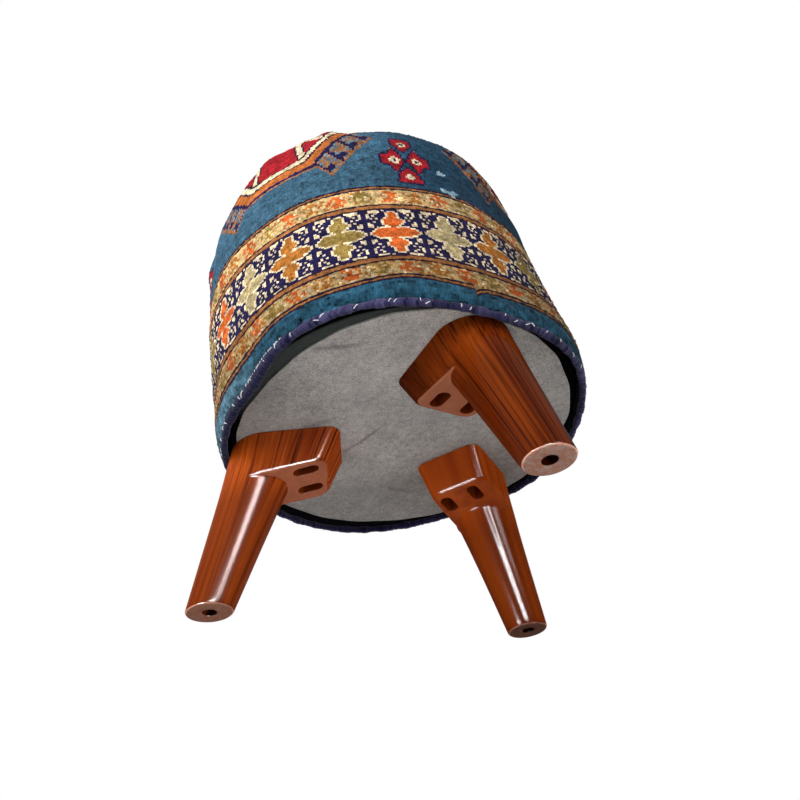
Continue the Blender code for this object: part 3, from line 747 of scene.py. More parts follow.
def paintFlowers(wool, x, y):
    # clusters of four red flowers with navy rims, ivory eyes and navy dots, and slate strips between
    shape = rug["flowers"]
    fx = fromRepeat(x, shape["start"])
    fy = y - shape["middle"]
    flowers = []
    wide, tall = shape["diamond"]
    near, far, half = shape["block"]
    for side in (-1, 1):
        ox = side * fx - shape["sideOut"]
        diamond = (np.abs(ox) / wide + np.abs(fy) / tall) < 1
        block = (ox > near) & (ox < far) & (np.abs(fy) < half)
        flowers.append((diamond | block, np.abs(ox) + np.abs(fy), shape["sideEye"]))
    for eyeAt, outline in shape["ends"]:
        petal = (fy > outline[0][0]) & (fy < outline[-1][0]) & (np.abs(fx) < readOff(outline, fy))
        flowers.append((petal, np.abs(fx) + np.abs(fy - eyeAt), shape["eye"]))
    petals = np.logical_or.reduce([petal for petal, _, _ in flowers])
    inReach = (np.abs(fx) < shape["reach"][0]) & (np.abs(fy) < shape["reach"][1])
    rim = grow(petals) & ~petals & inReach
    fromStrip = np.abs(np.abs(fx) - shape["stripSlope"] * np.abs(fy) - shape["stripStart"])
    strips = inReach & ~petals & ~rim & (fromStrip < shape["stripHalf"]) & (np.abs(fy) < shape["stripReach"])
    wool[strips] = woolNumber["slate"]
    wool[rim] = woolNumber["navy"]
    for petal, fromEye, (eye, dot) in flowers:
        wool[petal & inReach] = woolNumber["red"]
        wool[petal & (fromEye < eye) & inReach] = woolNumber["ivory"]
        wool[petal & (fromEye < dot) & inReach] = woolNumber["navy"]


def paintRug(x, y):
    # each knot's wool, by number, from its place along the rug and up it: bands, then the patterns on them
    wool = np.full(x.shape, woolNumber["field"])
    low = 0.0
    for high, name in rug["bands"]:
        wool[(y >= low) & (y < high)] = woolNumber[name]
        low = high
    shake = np.random.default_rng(rug["patternSeed"]).normal(0, 1, (2, *x.shape))
    paintBorder(wool, x, y)
    paintGuards(wool, x, y, shake)
    paintMedallions(wool, x, y, shake)
    paintFlowers(wool, x, y)
    for spotX, spotY, radius in rug["wornSpots"]:
        wool[(x - spotX) ** 2 + (y - spotY) ** 2 < radius ** 2] = woolNumber["worn"]
    return wool


def rugLift(theta, length):
    # how far the rug stands off the drum, and how far it is raised
    x, y = theta * drum["radius"] * 1000, length * 1000
    # long waves of the stuffing, growing towards the crown, and its lumps
    swells = sum(tall * np.sin(turns * theta + climbs * length + start)
                 for tall, turns, climbs, start in rug["swells"])
    lowSwell, moreSwell = rug["swellHeight"]
    lift = swells * (lowSwell + moreSwell * smoothStep(*rug["swellRise"], y))
    for atX, atY, wideX, wideY, tall in rug["lumps"]:
        away = (x - atX + rugLength / 2) % rugLength - rugLength / 2
        lift = lift + tall / 1000 * bell(away, wideX) * bell(y - atY, wideY)
    # gores swell between darts from the shoulder to the hollow middle
    gores = rug["gores"]
    radius, height = radiusAt(length), heightAt(length)
    place = (theta * gores["count"] / (2 * np.pi)) % 1.0
    pillow = 1 - np.abs(2 * place - 1) ** gores["fullness"]
    crownShare = (height - drum["shoulderHeight"]) / (crownTop - drum["shoulderHeight"])
    reach = smoothStep(*gores["rise"], crownShare)
    reach = reach * np.clip(radius / gores["fullRadius"], gores["least"], 1.0)
    fromDart = np.minimum(place, 1 - place) * 2 * np.pi / gores["count"] * radius
    deep, wide = gores["groove"]
    lift = lift + reach * (gores["swell"] * pillow - gores["draw"] - deep * bell(fromDart, wide))
    dip, dipRadius = rug["crownDip"]
    lift = lift - dip * (1 - smoothStep(0.0, dipRadius, radius))
    # the edge rolls under, the lowest band is fuller at one place, and the tuck is drawn in and down
    roll, rollFrom, rollTo = rug["edgeRoll"]
    lift = lift - roll * (1 - smoothStep(rollFrom, rollTo, y)) ** 2
    fuller, tuck = rug["fuller"], rug["tuck"]
    rise = fuller["rise"] * bell(x - fuller["at"], fuller["width"])
    rise = rise * smoothStep(*fuller["from"], y) * (1 - smoothStep(*fuller["to"], y))
    fromTuck = x - tuck["at"]
    low = 1 - smoothStep(*tuck["to"], y)
    lift = lift - tuck["depth"] * low * bell(fromTuck, tuck["width"])
    drawn = np.where(fromTuck > 0, np.exp(-np.abs(fromTuck) / tuck["reach"]), 0.0)
    return lift, rise - tuck["drop"] * low * drawn


def rugColours(theta, length, random):
    # the colour of every knot: its wool's, paler on some sides as painted sheen and light, times a shade that
    # holds painted shade too
    x, y = theta * drum["radius"] * 1000, length * 1000
    gore = rugLength / rug["gores"]["count"]
    inGore = x % gore - gore / 2
    narrowFrom = rug["narrowFrom"]
    narrowing = np.where(y > narrowFrom, radiusAt(length) / radiusAt(narrowFrom / 1000), 1.0)
    wool = paintRug(x - inGore + inGore * narrowing, y)
    isField, isTeal, isNavy = (wool == woolNumber[name] for name in ("field", "teal", "navy"))
    table = np.array([tint(*colour)[:3] for colour in wools.values()])
    colour = table[wool]
    # painted sheen and light: each wool turns paler on the side that the light and the sheen come from
    for name, paler, turn, low, high in rug["paintedSheenSide"]:
        paintedSheen = smoothStep(low, high, np.cos(theta - math.radians(turn))) * (wool == woolNumber[name])
        colour = colour + (table[woolNumber[paler]] - colour) * paintedSheen[..., None]
    # dye that varies from knot to knot, row to row, in tufts and in broad bands
    dye = rug["dye"]
    tufts = random.normal(0, 1, wool.shape)
    tufts = tufts + np.roll(tufts, 1, 1) + np.roll(tufts, 2, 1)
    tufts = (tufts + np.roll(tufts, 1, 0)) / 2.4
    shade = 1 + random.normal(0, dye["knots"], wool.shape)
    shade = shade + random.normal(0, dye["rows"], (wool.shape[0], 1))
    shade = shade + dye["tufts"] * tufts + dye["tealTufts"] * tufts * isTeal
    band = np.sin(y / dye["bandHeight"] + dye["bandSway"] * np.sin(2 * theta))
    shade = shade + dye["bands"] * band * isField
    shade = shade + dye["columns"] * random.normal(0, 1, (1, wool.shape[1])) * ~isNavy
    # darker next to the guard, as painted shade, near the hem and on the lower guard
    less, low, high = rug["darkening"]["field"]
    shade = shade * np.where(isField, 1 - less + less * smoothStep(low, high, y), 1.0)
    less, low, high = rug["darkening"]["hem"]
    shade = shade * (1 - less + less * smoothStep(low, high, y))
    less, low, full, ends, high = rug["darkening"]["guard"]
    shade = shade * (1 - less * smoothStep(low, full, y) * (1 - smoothStep(ends, high, y)))
    return colour * shade[..., None]


def rugMaterial():
    material, tree, shader = newMaterial("rugWool", {"Roughness": 0.95, "Sheen Weight": 0.04,
                                                     "Sheen Roughness": 0.6, "Specular IOR Level": 0.0})
    place = addNode(tree, "UVMap", {"uv_map": "knots"}).outputs[0]
    pile = useGroup(tree, woolPile, {"Knots": place, "Streak Width": 2.6})
    light = spread(tree, pile["Streak"], 0.25, 0.75, 0.45, 1.55)
    patch = spread(tree, pile["Patch"], 0.35, 0.65, 0.62, 1.38)
    colour = lightened(tree, ownValue(tree, "knotColour", "Color"), times(tree, light, patch))
    dress(tree, shader, colour, pile["Height"], 0.55, 0.0012)
    return material


def makeRug():
    # rows of knots up the outside, joined at the hem to a few rows down the inside
    random = np.random.default_rng(rug["seed"])
    columns, thickness = rug["columns"], rug["thickness"]
    last = profileLength[-1] - rug["lastGap"]
    rows = int(round((last - rug["firstRow"]) / rug["rowHeight"])) + 1
    theta = -np.pi + 2 * np.pi * np.arange(columns) / columns
    length = np.linspace(rug["firstRow"], last, rows)
    theta2, length2 = np.meshgrid(theta, length)
    lift, rise = rugLift(theta2, length2)
    stands, lies = rug["pile"]
    lift = lift + random.normal(0, stands, lift.shape)
    wander = random.normal(0, lies, (2, *lift.shape))
    clearOutside, clearInside = rug["clearance"]
    outer = drumPoints(theta2 + wander[0] / drum["radius"], length2 + wander[1], -lift, rise)
    outer = offTheWall(outer, clearOutside)
    insideTheta, insideLength = np.meshgrid(theta, np.array(rug["insideRows"]) * last)
    inner = offTheWall(drumPoints(insideTheta, insideLength, thickness), clearInside)
    lower = drumPoints(theta, np.full(columns, rug["firstRow"]), thickness / 2)[None]
    higher, deeper = rug["capDepth"]
    allRows = len(inner) + 1 + rows
    points, caps = closedEnds(np.concatenate([inner, lower, outer]), allRows, columns,
                              inner[0].mean(0) + (0, 0, higher), outer[-1].mean(0) - (0, 0, deeper))

    # each knot takes its wool from the middle of its quad; the inside shows the backing
    middles = np.meshgrid(theta + np.pi / columns, (length[:-1] + length[1:]) / 2)
    colour = rugColours(*middles, random)
    backing = tint(*wools["backing"])[:3]
    faceColour = np.concatenate([np.tile(backing, ((len(inner) + 1) * columns, 1)), colour.reshape(-1, 3),
                                 np.tile(backing, (columns, 1)), np.tile(colour[-1].mean(0), (columns, 1))])
    faceColour = np.concatenate([np.clip(faceColour, 0, 1), np.ones((len(faceColour), 1))], 1)
    faces = [gridQuads(allRows, columns), *caps]
    piece = makePiece("rug_drum", points, faces, rugMaterial(), ["carpet_cover"])
    addValues(piece, "knotColour", "FLOAT_COLOR", "FACE", faceColour)
    capCorners = np.tile([[0, 0], [1, 0], [0.5, 1]], (2 * columns, 1))
    addUv(piece, "knots", np.concatenate([gridCorners(allRows - 1, columns), capCorners]))
    print("rug:", rows, "rows of", columns, "knots")


makeRug()


# overcast hem and its white stitches

hem = {
    "wraps": 460,            # turns of yarn round the edge
    "acrossWrap": 6,         # points across one turn
    "around": 14,            # points round the roll
    "wrapsPerStreak": 4.0,
    "halfWidth": 0.0027,
    "halfHeight": 0.0032,
    "squareness": 0.85,
    "inset": 0.0046,         # from the drum's radius to the middle of the roll
    "drop": 0.0004,          # of the roll's middle below the middle of its solid
    "fuller": (-138.0, 20.0, 0.0012),    # thicker round this angle: degrees, width, half width added
    "bulge": 0.00032, "bulgePower": 0.6,
    "uneven": (0.3, 0.00013, 0.00012),   # how turns differ in width and height, and points in height
    "tone": (0.45, 0.26),    # lightness of the turns and how it varies
    "ripples": (0.0005, 0.0002),         # heights of the long and the short ones
    "patches": 0.18,         # how much long patches vary in lightness
    "below": (0.25, -0.75, 0.1),         # painted shade: lightness of the underside, and cosines from and to
    "shade": (-163.0, 0.92, 0.5, 0.95),  # painted shade: darker on this side, by this, and cosines from and to
    "seed": 7,
}


def squared(value):
    # a sine or cosine drawn towards a rounded box
    return np.sign(value) * np.abs(value) ** hem["squareness"]


def hemPoints(theta, phi, out=0.0):
    # a round-cornered roll under the rug's edge; phi runs from outside over the bottom
    turn, width, more = hem["fuller"]
    out = out + more * bell(degreesFrom(theta, turn), width)
    radius = drum["radius"] - hem["inset"] + (hem["halfWidth"] + out) * squared(np.cos(phi))
    middle = (hemLow[2] + hemHigh[2]) / 2 - hem["drop"]
    height = middle + (hem["halfHeight"] + out) * squared(np.sin(phi))
    waveOut, waveUp = hemWave(theta)
    return placed(theta, radius + waveOut + stuffing(theta, height), height + waveUp, drum["shift"])


def yarnMaterial():
    material, tree, shader = newMaterial("edgeYarn", {"Roughness": 0.9, "Sheen Weight": 0.15,
                                                      "Specular IOR Level": 0.0})
    place = addNode(tree, "UVMap", {"uv_map": "wraps"}).outputs[0]
    pile = useGroup(tree, woolPile, {"Knots": place, "Streak Width": 4.0})
    # the yarn's tone, with painted shade on the roll's underside and on one side of the drum
    colour = blendColours(tree, ownValue(tree, "yarnToneAndShade"), tint(22, 24, 56), tint(92, 88, 132))
    fleck = spread(tree, pile["Streak"], 0.3, 0.75, 0.0, 0.45)
    dress(tree, shader, blendColours(tree, fleck, colour, tint(30, 26, 60)), pile["Streak"], 0.8, 0.0010)
    return material


def makeRoll(random):
    # each turn of yarn is a rounded ridge that leans by one turn round the roll
    wraps, rows = hem["wraps"], hem["around"]
    columns = wraps * hem["acrossWrap"]
    theta, phi = np.meshgrid(2 * np.pi * np.arange(columns) / columns, 2 * np.pi * np.arange(rows) / rows)
    wrap = theta * wraps / (2 * np.pi) + phi / (2 * np.pi)
    number = np.floor(wrap).astype(int) % wraps
    widths, heights, pointHeights = hem["uneven"]
    width = 1 + widths * random.normal(0, 1, wraps)
    ridge = np.abs(np.sin(np.pi * wrap)) ** hem["bulgePower"] * hem["bulge"] * width[number]
    ridge = ridge + random.normal(0, heights, wraps)[number] + random.normal(0, pointHeights, theta.shape)
    tall, small = hem["ripples"]
    ridge = ridge + tall * np.sin(13 * theta + 2) * np.sin(29 * theta + 1) + small * np.sin(53 * theta)
    faces = [gridQuads(rows, columns, tube=True)]
    piece = makePiece("hem_roll", hemPoints(theta, phi, ridge), faces, yarnMaterial(),
                      ["hem_overcast"])
    # lightness by turn and in long patches, with painted shade on the underside of the roll and on one side
    # of the drum
    tone = np.clip(random.normal(*hem["tone"], wraps), 0, 1)
    patch = hem["patches"] * np.sin(7 * theta + 1.0) * np.sin(3 * theta)
    least, low, high = hem["below"]
    lit = least + (1 - least) * smoothStep(low, high, np.cos(phi))
    towards, darker, low, high = hem["shade"]
    lit = lit * (1 - darker * smoothStep(low, high, np.cos(theta - math.radians(towards))))
    addValues(piece, "yarnToneAndShade", "FLOAT", "POINT", np.clip((tone[number] + patch) * lit, 0, 1))
    addUv(piece, "wraps", gridCorners(rows, columns) / (hem["acrossWrap"], hem["wrapsPerStreak"]))
    print("hem:", wraps, "turns of yarn")


def clothMaterial(name, constants, fibreScale, dark, pale, strength, distance):
    # fibres between two colours
    material, tree, shader = newMaterial(name, constants)
    fuzz = useGroup(tree, feltFuzz, {"Place": objectPlace(tree), "Fibre Scale": fibreScale})
    dress(tree, shader, blendColours(tree, fuzz["Speckle"], dark, pale), fuzz["Height"], strength, distance)
    return material


stitch = {
    "count": 58,
    "radius": 0.00040,
    "steps": 9,
    "sides": 6,
    "stand": (0.0006, 0.0012),           # how far it stands off, and how far its ends dip
    "normalStep": 0.002,     # to a second surface, which gives the direction outwards
    "stray": (0.42, 0.003),  # from its even place in pitches, and in the row in radians
    "doubled": (5, 0.03),    # every so many has a second one, this many radians on
    "runningRow": (-140, -121, 17),      # a row of small stitches: from and to in degrees, and how many
    # where the middle lies round the roll, how far a stitch reaches and how it slants
    "loose": {"middle": (-0.7, 0.2), "reach": (0.30, 0.55), "slant": (0.003, 0.006)},
    "running": {"middle": (0.35, 0.55), "reach": (0.10, 0.22), "slant": (0.006, 0.002)},
}


def stitchDraws(random, kind, count):
    # the middle, reach and slant of some stitches
    middle = random.uniform(*kind["middle"], count)
    reach = random.uniform(*kind["reach"], count)
    return middle, reach, random.normal(*kind["slant"], count)


def makeStitches(random):
    # short bent threads over the roll's lower outside, none quite like the next, as tubes round a spine
    count, steps, sides = stitch["count"], stitch["steps"], stitch["sides"]
    stray, rowStray = stitch["stray"]
    every, beside = stitch["doubled"]
    start = 2 * np.pi * (np.arange(count) + random.uniform(-stray, stray, count)) / count
    row = np.radians(np.linspace(*stitch["runningRow"]))
    start = np.concatenate([start, start[::every] + beside, row + random.normal(0, rowStray, len(row))])
    count = len(start)
    middle, reach, slant = stitchDraws(random, stitch["loose"], count)
    # the last ones are the row of small running stitches along the roll's upper edge
    inRow = slice(-len(row), None)
    middle[inRow], reach[inRow], slant[inRow] = stitchDraws(random, stitch["running"], len(row))
    t = np.linspace(-1, 1, steps)
    phi = middle[:, None] + reach[:, None] * t
    theta = start[:, None] + slant[:, None] * t
    stand, dip = stitch["stand"]
    out = stand - dip * np.abs(t) ** 4
    spine = hemPoints(theta, phi, out)
    ahead = np.gradient(spine, axis=1)
    ahead /= np.linalg.norm(ahead, axis=2, keepdims=True)
    side = np.cross(ahead, hemPoints(theta, phi, out + stitch["normalStep"]) - spine)
    side /= np.linalg.norm(side, axis=2, keepdims=True)
    rise = np.cross(side, ahead)
    turn = 2 * np.pi * np.arange(sides)[:, None] / sides
    around = np.cos(turn) * side[:, :, None] + np.sin(turn) * rise[:, :, None]
    tubes = spine[:, :, None] + stitch["radius"] * around
    first = np.arange(count) * steps * sides
    quads = gridQuads(steps, sides)[None] + first[:, None, None]
    ends = np.arange(sides)[None, ::-1] + first[:, None]
    tips = np.arange(sides)[None] + (first + (steps - 1) * sides)[:, None]
    constants = {"Roughness": 0.9, "Sheen Weight": 0.1, "Specular IOR Level": 0.0}
    material = clothMaterial("stitchThread", constants, 1500.0, tint(205, 205, 212), tint(245, 244, 246),
                             0.4, 0.0003)
    makePiece("hem_stitches", tubes, [quads.reshape(-1, 4), ends, tips], material)
    print("stitches:", count)


hemRandom = np.random.default_rng(hem["seed"])
makeRoll(hemRandom)
makeStitches(hemRandom)


# felt dust cover and the lining it lies on

felt = {
    "sag": 0.0008,
    "flat": 0.132,               # radius to which its rings are round
    "rings": (84, 16),           # rings up to there and beyond
    "columns": 400,
    "cutDepth": 0.0095,          # it was cut short on one side
    "cutTowards": -131.0,
    "cutWidth": 30.0,
    "reachFar": (0.0060, -0.1, 0.7),     # and reaches the hem on the other: by this, sines from and to
    "notFar": (0.75, 1.0),       # and that dies out between these cosines
    "edgeRipples": (0.0006, 0.0004),
    "darkening": 0.34,                # how dark its painted shade gets at most
    "paintedShadeSide": (0.045, 0.125),  # from and to on the -x side
    "paintedShadeFar": (0.02, 0.10),     # and towards the far edge
    # creases: from and to in mm, width, depth and how dark the painted shade in the fold is
    "creases": ((-66, -133, -12, -130, 2.0, 0.5, 0.45), (-63, 18, -8, -29, 1.3, 0.5, 0.42),
                (-94, -31, -56, -41, 4.0, 0.5, 0.35), (-90, -57, -60, -66, 7.0, 0.4, 0.12),
                (20, 60, 70, 20, 7.0, 0.5, 0.10), (-30, 90, 30, 120, 6.0, 0.5, 0.10)),
    "creaseBow": 2.5,
    "creaseFade": (-6, 8, 0.5, 6),       # mm at its start, then a share of its length and mm past its end
    "creaseStep": 3,             # how many times wider the step is than the fold's shade
    # it lies flat under the legs' plates: their middle, half sizes and the room beside them
    "plates": ("leg_left", "leg_rear", "leg_front"),
    "plateCircle": 0.1095, "plateHalf": (0.054, 0.036), "plateRoom": 0.012,
    "thinner": 0.0001,           # than its solid
    "margin": 0.002,             # it was cut from a square this much larger
}


def feltEdge(theta):
    # a circle with one nearly straight cut and a fuller far side
    boxLow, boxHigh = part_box("felt_dust_cover")
    away = degreesFrom(theta, felt["cutTowards"])
    cut = felt["cutDepth"] * np.exp(-np.abs(away / felt["cutWidth"]) ** 3)
    more, low, high = felt["reachFar"]
    far = more * smoothStep(low, high, np.sin(theta))
    far = far * (1 - smoothStep(*felt["notFar"], np.cos(theta)))
    slow, quick = felt["edgeRipples"]
    ripple = slow * np.sin(9 * theta + 1) + quick * np.sin(23 * theta)
    return (boxHigh[0] - boxLow[0]) / 2 - cut + far + ripple


def plateKeepOut(x, y):
    # 0 over a leg's plate, 1 well clear of it
    clear = np.ones(x.shape)
    halfLength, halfWidth = felt["plateHalf"]
    for name in felt["plates"]:
        low, high = (np.array(v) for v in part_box(name))
        turn = math.atan2(low[1] + high[1], low[0] + high[0])
        along = x * math.cos(turn) + y * math.sin(turn) - felt["plateCircle"]
        across = -x * math.sin(turn) + y * math.cos(turn)
        gap = np.maximum(np.abs(along) - halfLength, np.abs(across) - halfWidth)
        clear = np.minimum(clear, smoothStep(0.0, felt["plateRoom"], gap))
    return clear


def feltFolds(x, y):
    # each crease is a bowed ridge with a step across it, dying out at its ends: height and painted shade
    drop, dark = np.zeros(x.shape), np.zeros(x.shape)
    before, after, share, past = felt["creaseFade"]
    for x0, y0, x1, y1, width, depth, shade in felt["creases"]:
        px, py = x * 1000 - x0, y * 1000 - y0
        lineX, lineY = x1 - x0, y1 - y0
        size = math.hypot(lineX, lineY)
        along = (px * lineX + py * lineY) / size
        bow = felt["creaseBow"] * np.sin(np.pi * np.clip(along / size, 0, 1))
        across = (py * lineX - px * lineY) / size - bow
        ends = smoothStep(before, after, along) * (1 - smoothStep(share * size, size + past, along))
        step = bell(across, felt["creaseStep"] * width)
        drop = drop + depth / 1000 * ends * step * np.sign(across)
        dark = np.maximum(dark, shade * ends * bell(across, width))
    return drop, dark


def feltSag(x, y):
    # a shallow waviness and the folds, nothing under the plates
    waviness = 0.5 + 0.5 * np.sin(31 * x + 1.2) * np.sin(27 * y + 0.4)
    drop = felt["sag"] * waviness + feltFolds(x, y)[0]
    return np.maximum(drop * plateKeepOut(x, y), 0.0)


def discPiece(name, facts, edge, sag, material, node):
    # a thin disc: rings of points from the middle to a flat radius and on to an edge radius
    # given for each angle, the whole sagging by a height worked out from x and y
    low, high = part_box(node)
    flat, columns = facts["flat"], facts["columns"]
    theta = 2 * np.pi * np.arange(columns) / columns
    inside, outside = facts["rings"]
    within = flat * (np.arange(inside) + 1)[:, None] / inside + np.zeros(columns)
    beyond = flat + (edge(theta) - flat) * (np.arange(outside) + 1)[:, None] / outside
    radius = np.concatenate([within, beyond])
    x, y = radius * np.cos(theta), radius * np.sin(theta)
    lower = np.stack([x, y, low[2] - sag(x, y)], -1)
    upper = lower[::-1] + (0, 0, high[2] - low[2] - facts["thinner"])
    rows = 2 * len(radius)
    points, caps = closedEnds(np.concatenate([lower, upper]), rows, columns,
                              lower[0].mean(0), upper[-1].mean(0))
    piece = makePiece(name, points, [gridQuads(rows, columns), *caps], material, [node], sharp=50)
    area = float(np.sum(0.5 * edge(theta) ** 2) * 2 * np.pi / columns)
    return piece, area


def cutSize(edge, margin):
    # the side of the square that a disc is cut from
    return 2 * float(np.max(edge(np.linspace(0, 2 * np.pi, 720)))) + margin


def feltMaterial():
    material, tree, shader = newMaterial("greyFelt", {"Roughness": 1.0, "Sheen Weight": 0.1,
                                                      "Specular IOR Level": 0.0})
    fuzz = useGroup(tree, feltFuzz, {"Place": objectPlace(tree), "Fibre Scale": 700.0})
    mottle = spread(tree, fuzz["Mottle"], 0.3, 0.7)
    colour = blendColours(tree, mottle, tint(163, 160, 157), tint(185, 182, 178))
    colour = lightened(tree, colour, spread(tree, fuzz["Speckle"], 0.36, 0.64, 0.64, 1.36))
    # painted shade: the felt darkens towards one side and its far edge
    colour = blendColours(tree, ownValue(tree, "darkening"), colour, tint(0, 0, 4))
    # painted shade along the folds
    colour = blendColours(tree, ownValue(tree, "paintedCreaseShade"), colour, tint(52, 50, 48))
    dress(tree, shader, colour, fuzz["Height"], 0.5, 0.0006)
    return material


def makeFelt():
    piece, area = discPiece("felt_disc", felt, feltEdge, feltSag, feltMaterial(), "felt_dust_cover")
    x, y, _ = pointPlaces(piece)
    addValues(piece, "paintedCreaseShade", "FLOAT", "POINT", feltFolds(x, y)[1])
    # painted shade: darker towards one side and the far edge, where less light falls
    darkening = np.maximum(smoothStep(*felt["paintedShadeSide"], -x), smoothStep(*felt["paintedShadeFar"], y))
    addValues(piece, "darkening", "FLOAT", "POINT", felt["darkening"] * darkening)
    side = cutSize(feltEdge, felt["margin"])
    print("felt: %.0f mm across, %.4f square metres" % (side * 1000, area))


lining = {
    "flat": 0.1606,
    "rings": (12, 10),
    "columns": 288,
    "height": 0.0215,            # it ends at the rug's inside, this far up the rug
    "gap": 0.0012,
    "turnUp": (0.0090, 0.1608, 0.1655),  # and turns up behind the hem: by this, radii from and to
    "ripple": (0.0003, 0.150, 0.160),    # height, radii from and to
    "lit": (-117.0, 0.72, 0.90),         # the one side without painted shade, cosines from and to
    "dark": (0.1604, 0.1616),    # radii from and to of the painted shade behind the hem
    "thinner": 0.0002,
    "margin": 0.004,
}


def liningEdge(theta):
    # out to the inside of the rug just above the hem
    inside = drumPoints(theta, np.full(theta.shape, lining["height"]), rug["thickness"])
    return np.hypot(inside[:, 0], inside[:, 1]) - lining["gap"]


def liningSag(x, y):
    # a ripple near the edge, and the edge turned up
    far, turn = np.hypot(x, y), np.arctan2(y, x)
    most, low, high = lining["turnUp"]
    rise = most * smoothStep(low, high, far)
    tall, low, high = lining["ripple"]
    return tall * smoothStep(low, high, far) * (1 + np.sin(19 * turn) * np.sin(7 * turn + 1)) - rise


def liningMaterial():
    material, tree, shader = newMaterial("blackLining", {"Roughness": 0.9, "Specular IOR Level": 0.0})
    fuzz = useGroup(tree, feltFuzz, {"Place": objectPlace(tree), "Fibre Scale": 1200.0})
    cloth = blendColours(tree, fuzz["Speckle"], tint(50, 56, 54), tint(78, 84, 81))
    # painted shade: near black where the lining lies in the dark
    cloth = blendColours(tree, ownValue(tree, "hollow"), cloth, tint(8, 9, 10))
    dress(tree, shader, cloth, fuzz["Height"], 0.3, 0.0004)
    return material


def makeLining():
    piece, area = discPiece("lining_disc", lining, liningEdge, liningSag, liningMaterial(),
                            "base_lining")
    # painted shade: near black where it turns up behind the hem, and all round but for one side
    x, y, _ = pointPlaces(piece)
    far, turn = np.hypot(x, y), np.arctan2(y, x)
    towards, low, high = lining["lit"]
    lit = smoothStep(low, high, np.cos(turn - math.radians(towards)))
    behind = smoothStep(*lining["dark"], far)
    addValues(piece, "hollow", "FLOAT", "POINT", np.maximum(behind, 1 - lit))
    side = cutSize(liningEdge, lining["margin"])
    print("lining: %.0f mm across" % (side * 1000))


makeFelt()
makeLining()


# moulded legs, each computed with its plate towards -x and then turned

leg = {
    "height": 0.150, "headCircle": 0.1272, "splay": 0.0522,
    "headRadius": 0.034, "headFlare": 0.0020, "flareFrom": 0.085,
    "neckRadius": 0.0298, "neckFillet": 0.0025,
    "footRadius": 0.0196, "footEdge": 0.0018,
    "coreRadius": 0.0060, "coreRim": 0.0006,
    # rings up the core: height, and how much wider than its radius
    "coreRings": ((0.0003, 0.0001), (0.0010, 0.0), (0.012, -0.0003), (0.030, -0.0006)),
    "plateBottom": 0.117, "plateThickness": 0.033, "plateLength": 0.069, "plateWidth": 0.069,
    "plateDraft": 0.004, "plateCorner": 0.0115, "plateEdge": 0.0038,
    "sideBlend": 0.006, "topBreak": 0.0006,
    "wedge": 0.155,          # the plate's lower face drops towards the shank by this slope
    "wedgeEnd": 0.060,       # and that has died out at this height of the shank
    "wedgeWiden": 0.01,      # the shank widens with it from this far outwards
    "pocketLength": 0.023, "pocketWidth": 0.0115, "pocketSpacing": 0.030, "pocketCircle": 0.0912,
    "pocketTop": 0.142, "pocketRim": 0.0006, "pocketTurn": 2.0, "pocketDraft": 0.00005,
    "pocketSides": (0.004, 6),           # where the rings of its sides start, and how many
    "arcSteps": 44, "shankSteps": 30, "soleSteps": 6,
    "sharpAngle": 38,        # edges that turn by more degrees look sharp
    "bareBand": 0.0012, "bareRadius": 0.0285, "bareFrom": 0.004,     # bare near the lower face, this far out
    "soleBand": 0.0009,      # and up to this height at the sole
    "grainRadius": 0.025,    # the printed grain has its true width at this radius
    "grainSlant": 0.6,       # and slants by this share of the leg's own slant on the plate
}
# where each leg stands in degrees; mounted by hand: off the circle, the plate turned, the foot moved in
# or round; its grain on plate and shank and the grain's place; how bare the lower face is and how pale
# the sole, partly painted light; the lacquer's painted light and shade on plate, head and shank;
# how dull the gloss is and how strong
legs = {
    "leg_left": {"turn": 180.0, "setOut": 0.0042, "twist": 6.2, "footMove": (0.0, 0.0),
                 "plateGrain": 1.05, "shankGrain": 0.50, "place": 0.0, "bareness": 0.7, "pale": 0.80,
                 "platePaintedLight": 1.55, "headPaintedLight": 1.55, "shankPaintedLight": 0.95, "dullness": 0.20, "gloss": 0.08},
    "leg_rear": {"turn": 60.0, "setOut": 0.0, "twist": 6.2, "footMove": (0.0, 0.0),
                 "plateGrain": 0.07, "shankGrain": 0.07, "place": 3.1, "bareness": 0.12, "pale": 0.85,
                 "platePaintedLight": 1.75, "headPaintedLight": 1.75, "shankPaintedLight": 1.15, "dullness": 0.15, "gloss": 0.028},
    "leg_front": {"turn": 300.0, "setOut": -0.0024, "twist": 4.3, "footMove": (-0.0050, 0.0024),
                  "plateGrain": 0.85, "shankGrain": 0.95, "place": 7.7, "bareness": 0.8, "pale": 1.0,
                  "platePaintedLight": 0.5, "headPaintedLight": 0.85, "shankPaintedLight": 0.66, "dullness": 0.09, "gloss": 0.08},
}


def legCentre(height):
    # the slanted centre line's distance from the pouf's axis
    return leg["headCircle"] + leg["splay"] * (leg["height"] - height) / leg["height"]


def shankRadius(height):
    # a straight taper that flares softly into the head
    flare = np.maximum(0.0, (height - leg["flareFrom"]) / (leg["height"] - leg["flareFrom"])) ** 2
    straight = leg["footRadius"] + (leg["neckRadius"] - leg["footRadius"]) * height / leg["plateBottom"]
    return straight + leg["headFlare"] * flare


def innerEnd(along):
    # how far a place lies from the plate's inner end, towards the shank
    return np.maximum(0.0, along + leg["plateLength"] - leg["plateDraft"])


def atHeight(ring, height):
    # a flat ring of x and y, at that height
    return np.concatenate([ring, np.full((len(ring), 1), height)], 1)


def twisted(ring, centre, degrees):
    # the ring turned about the leg's centre line at its own height
    cosine, sine = math.cos(math.radians(degrees)), math.sin(math.radians(degrees))
    x, y = ring[:, 0] - centre, ring[:, 1]
    return np.stack([centre + x * cosine - y * sine, x * sine + y * cosine], -1)


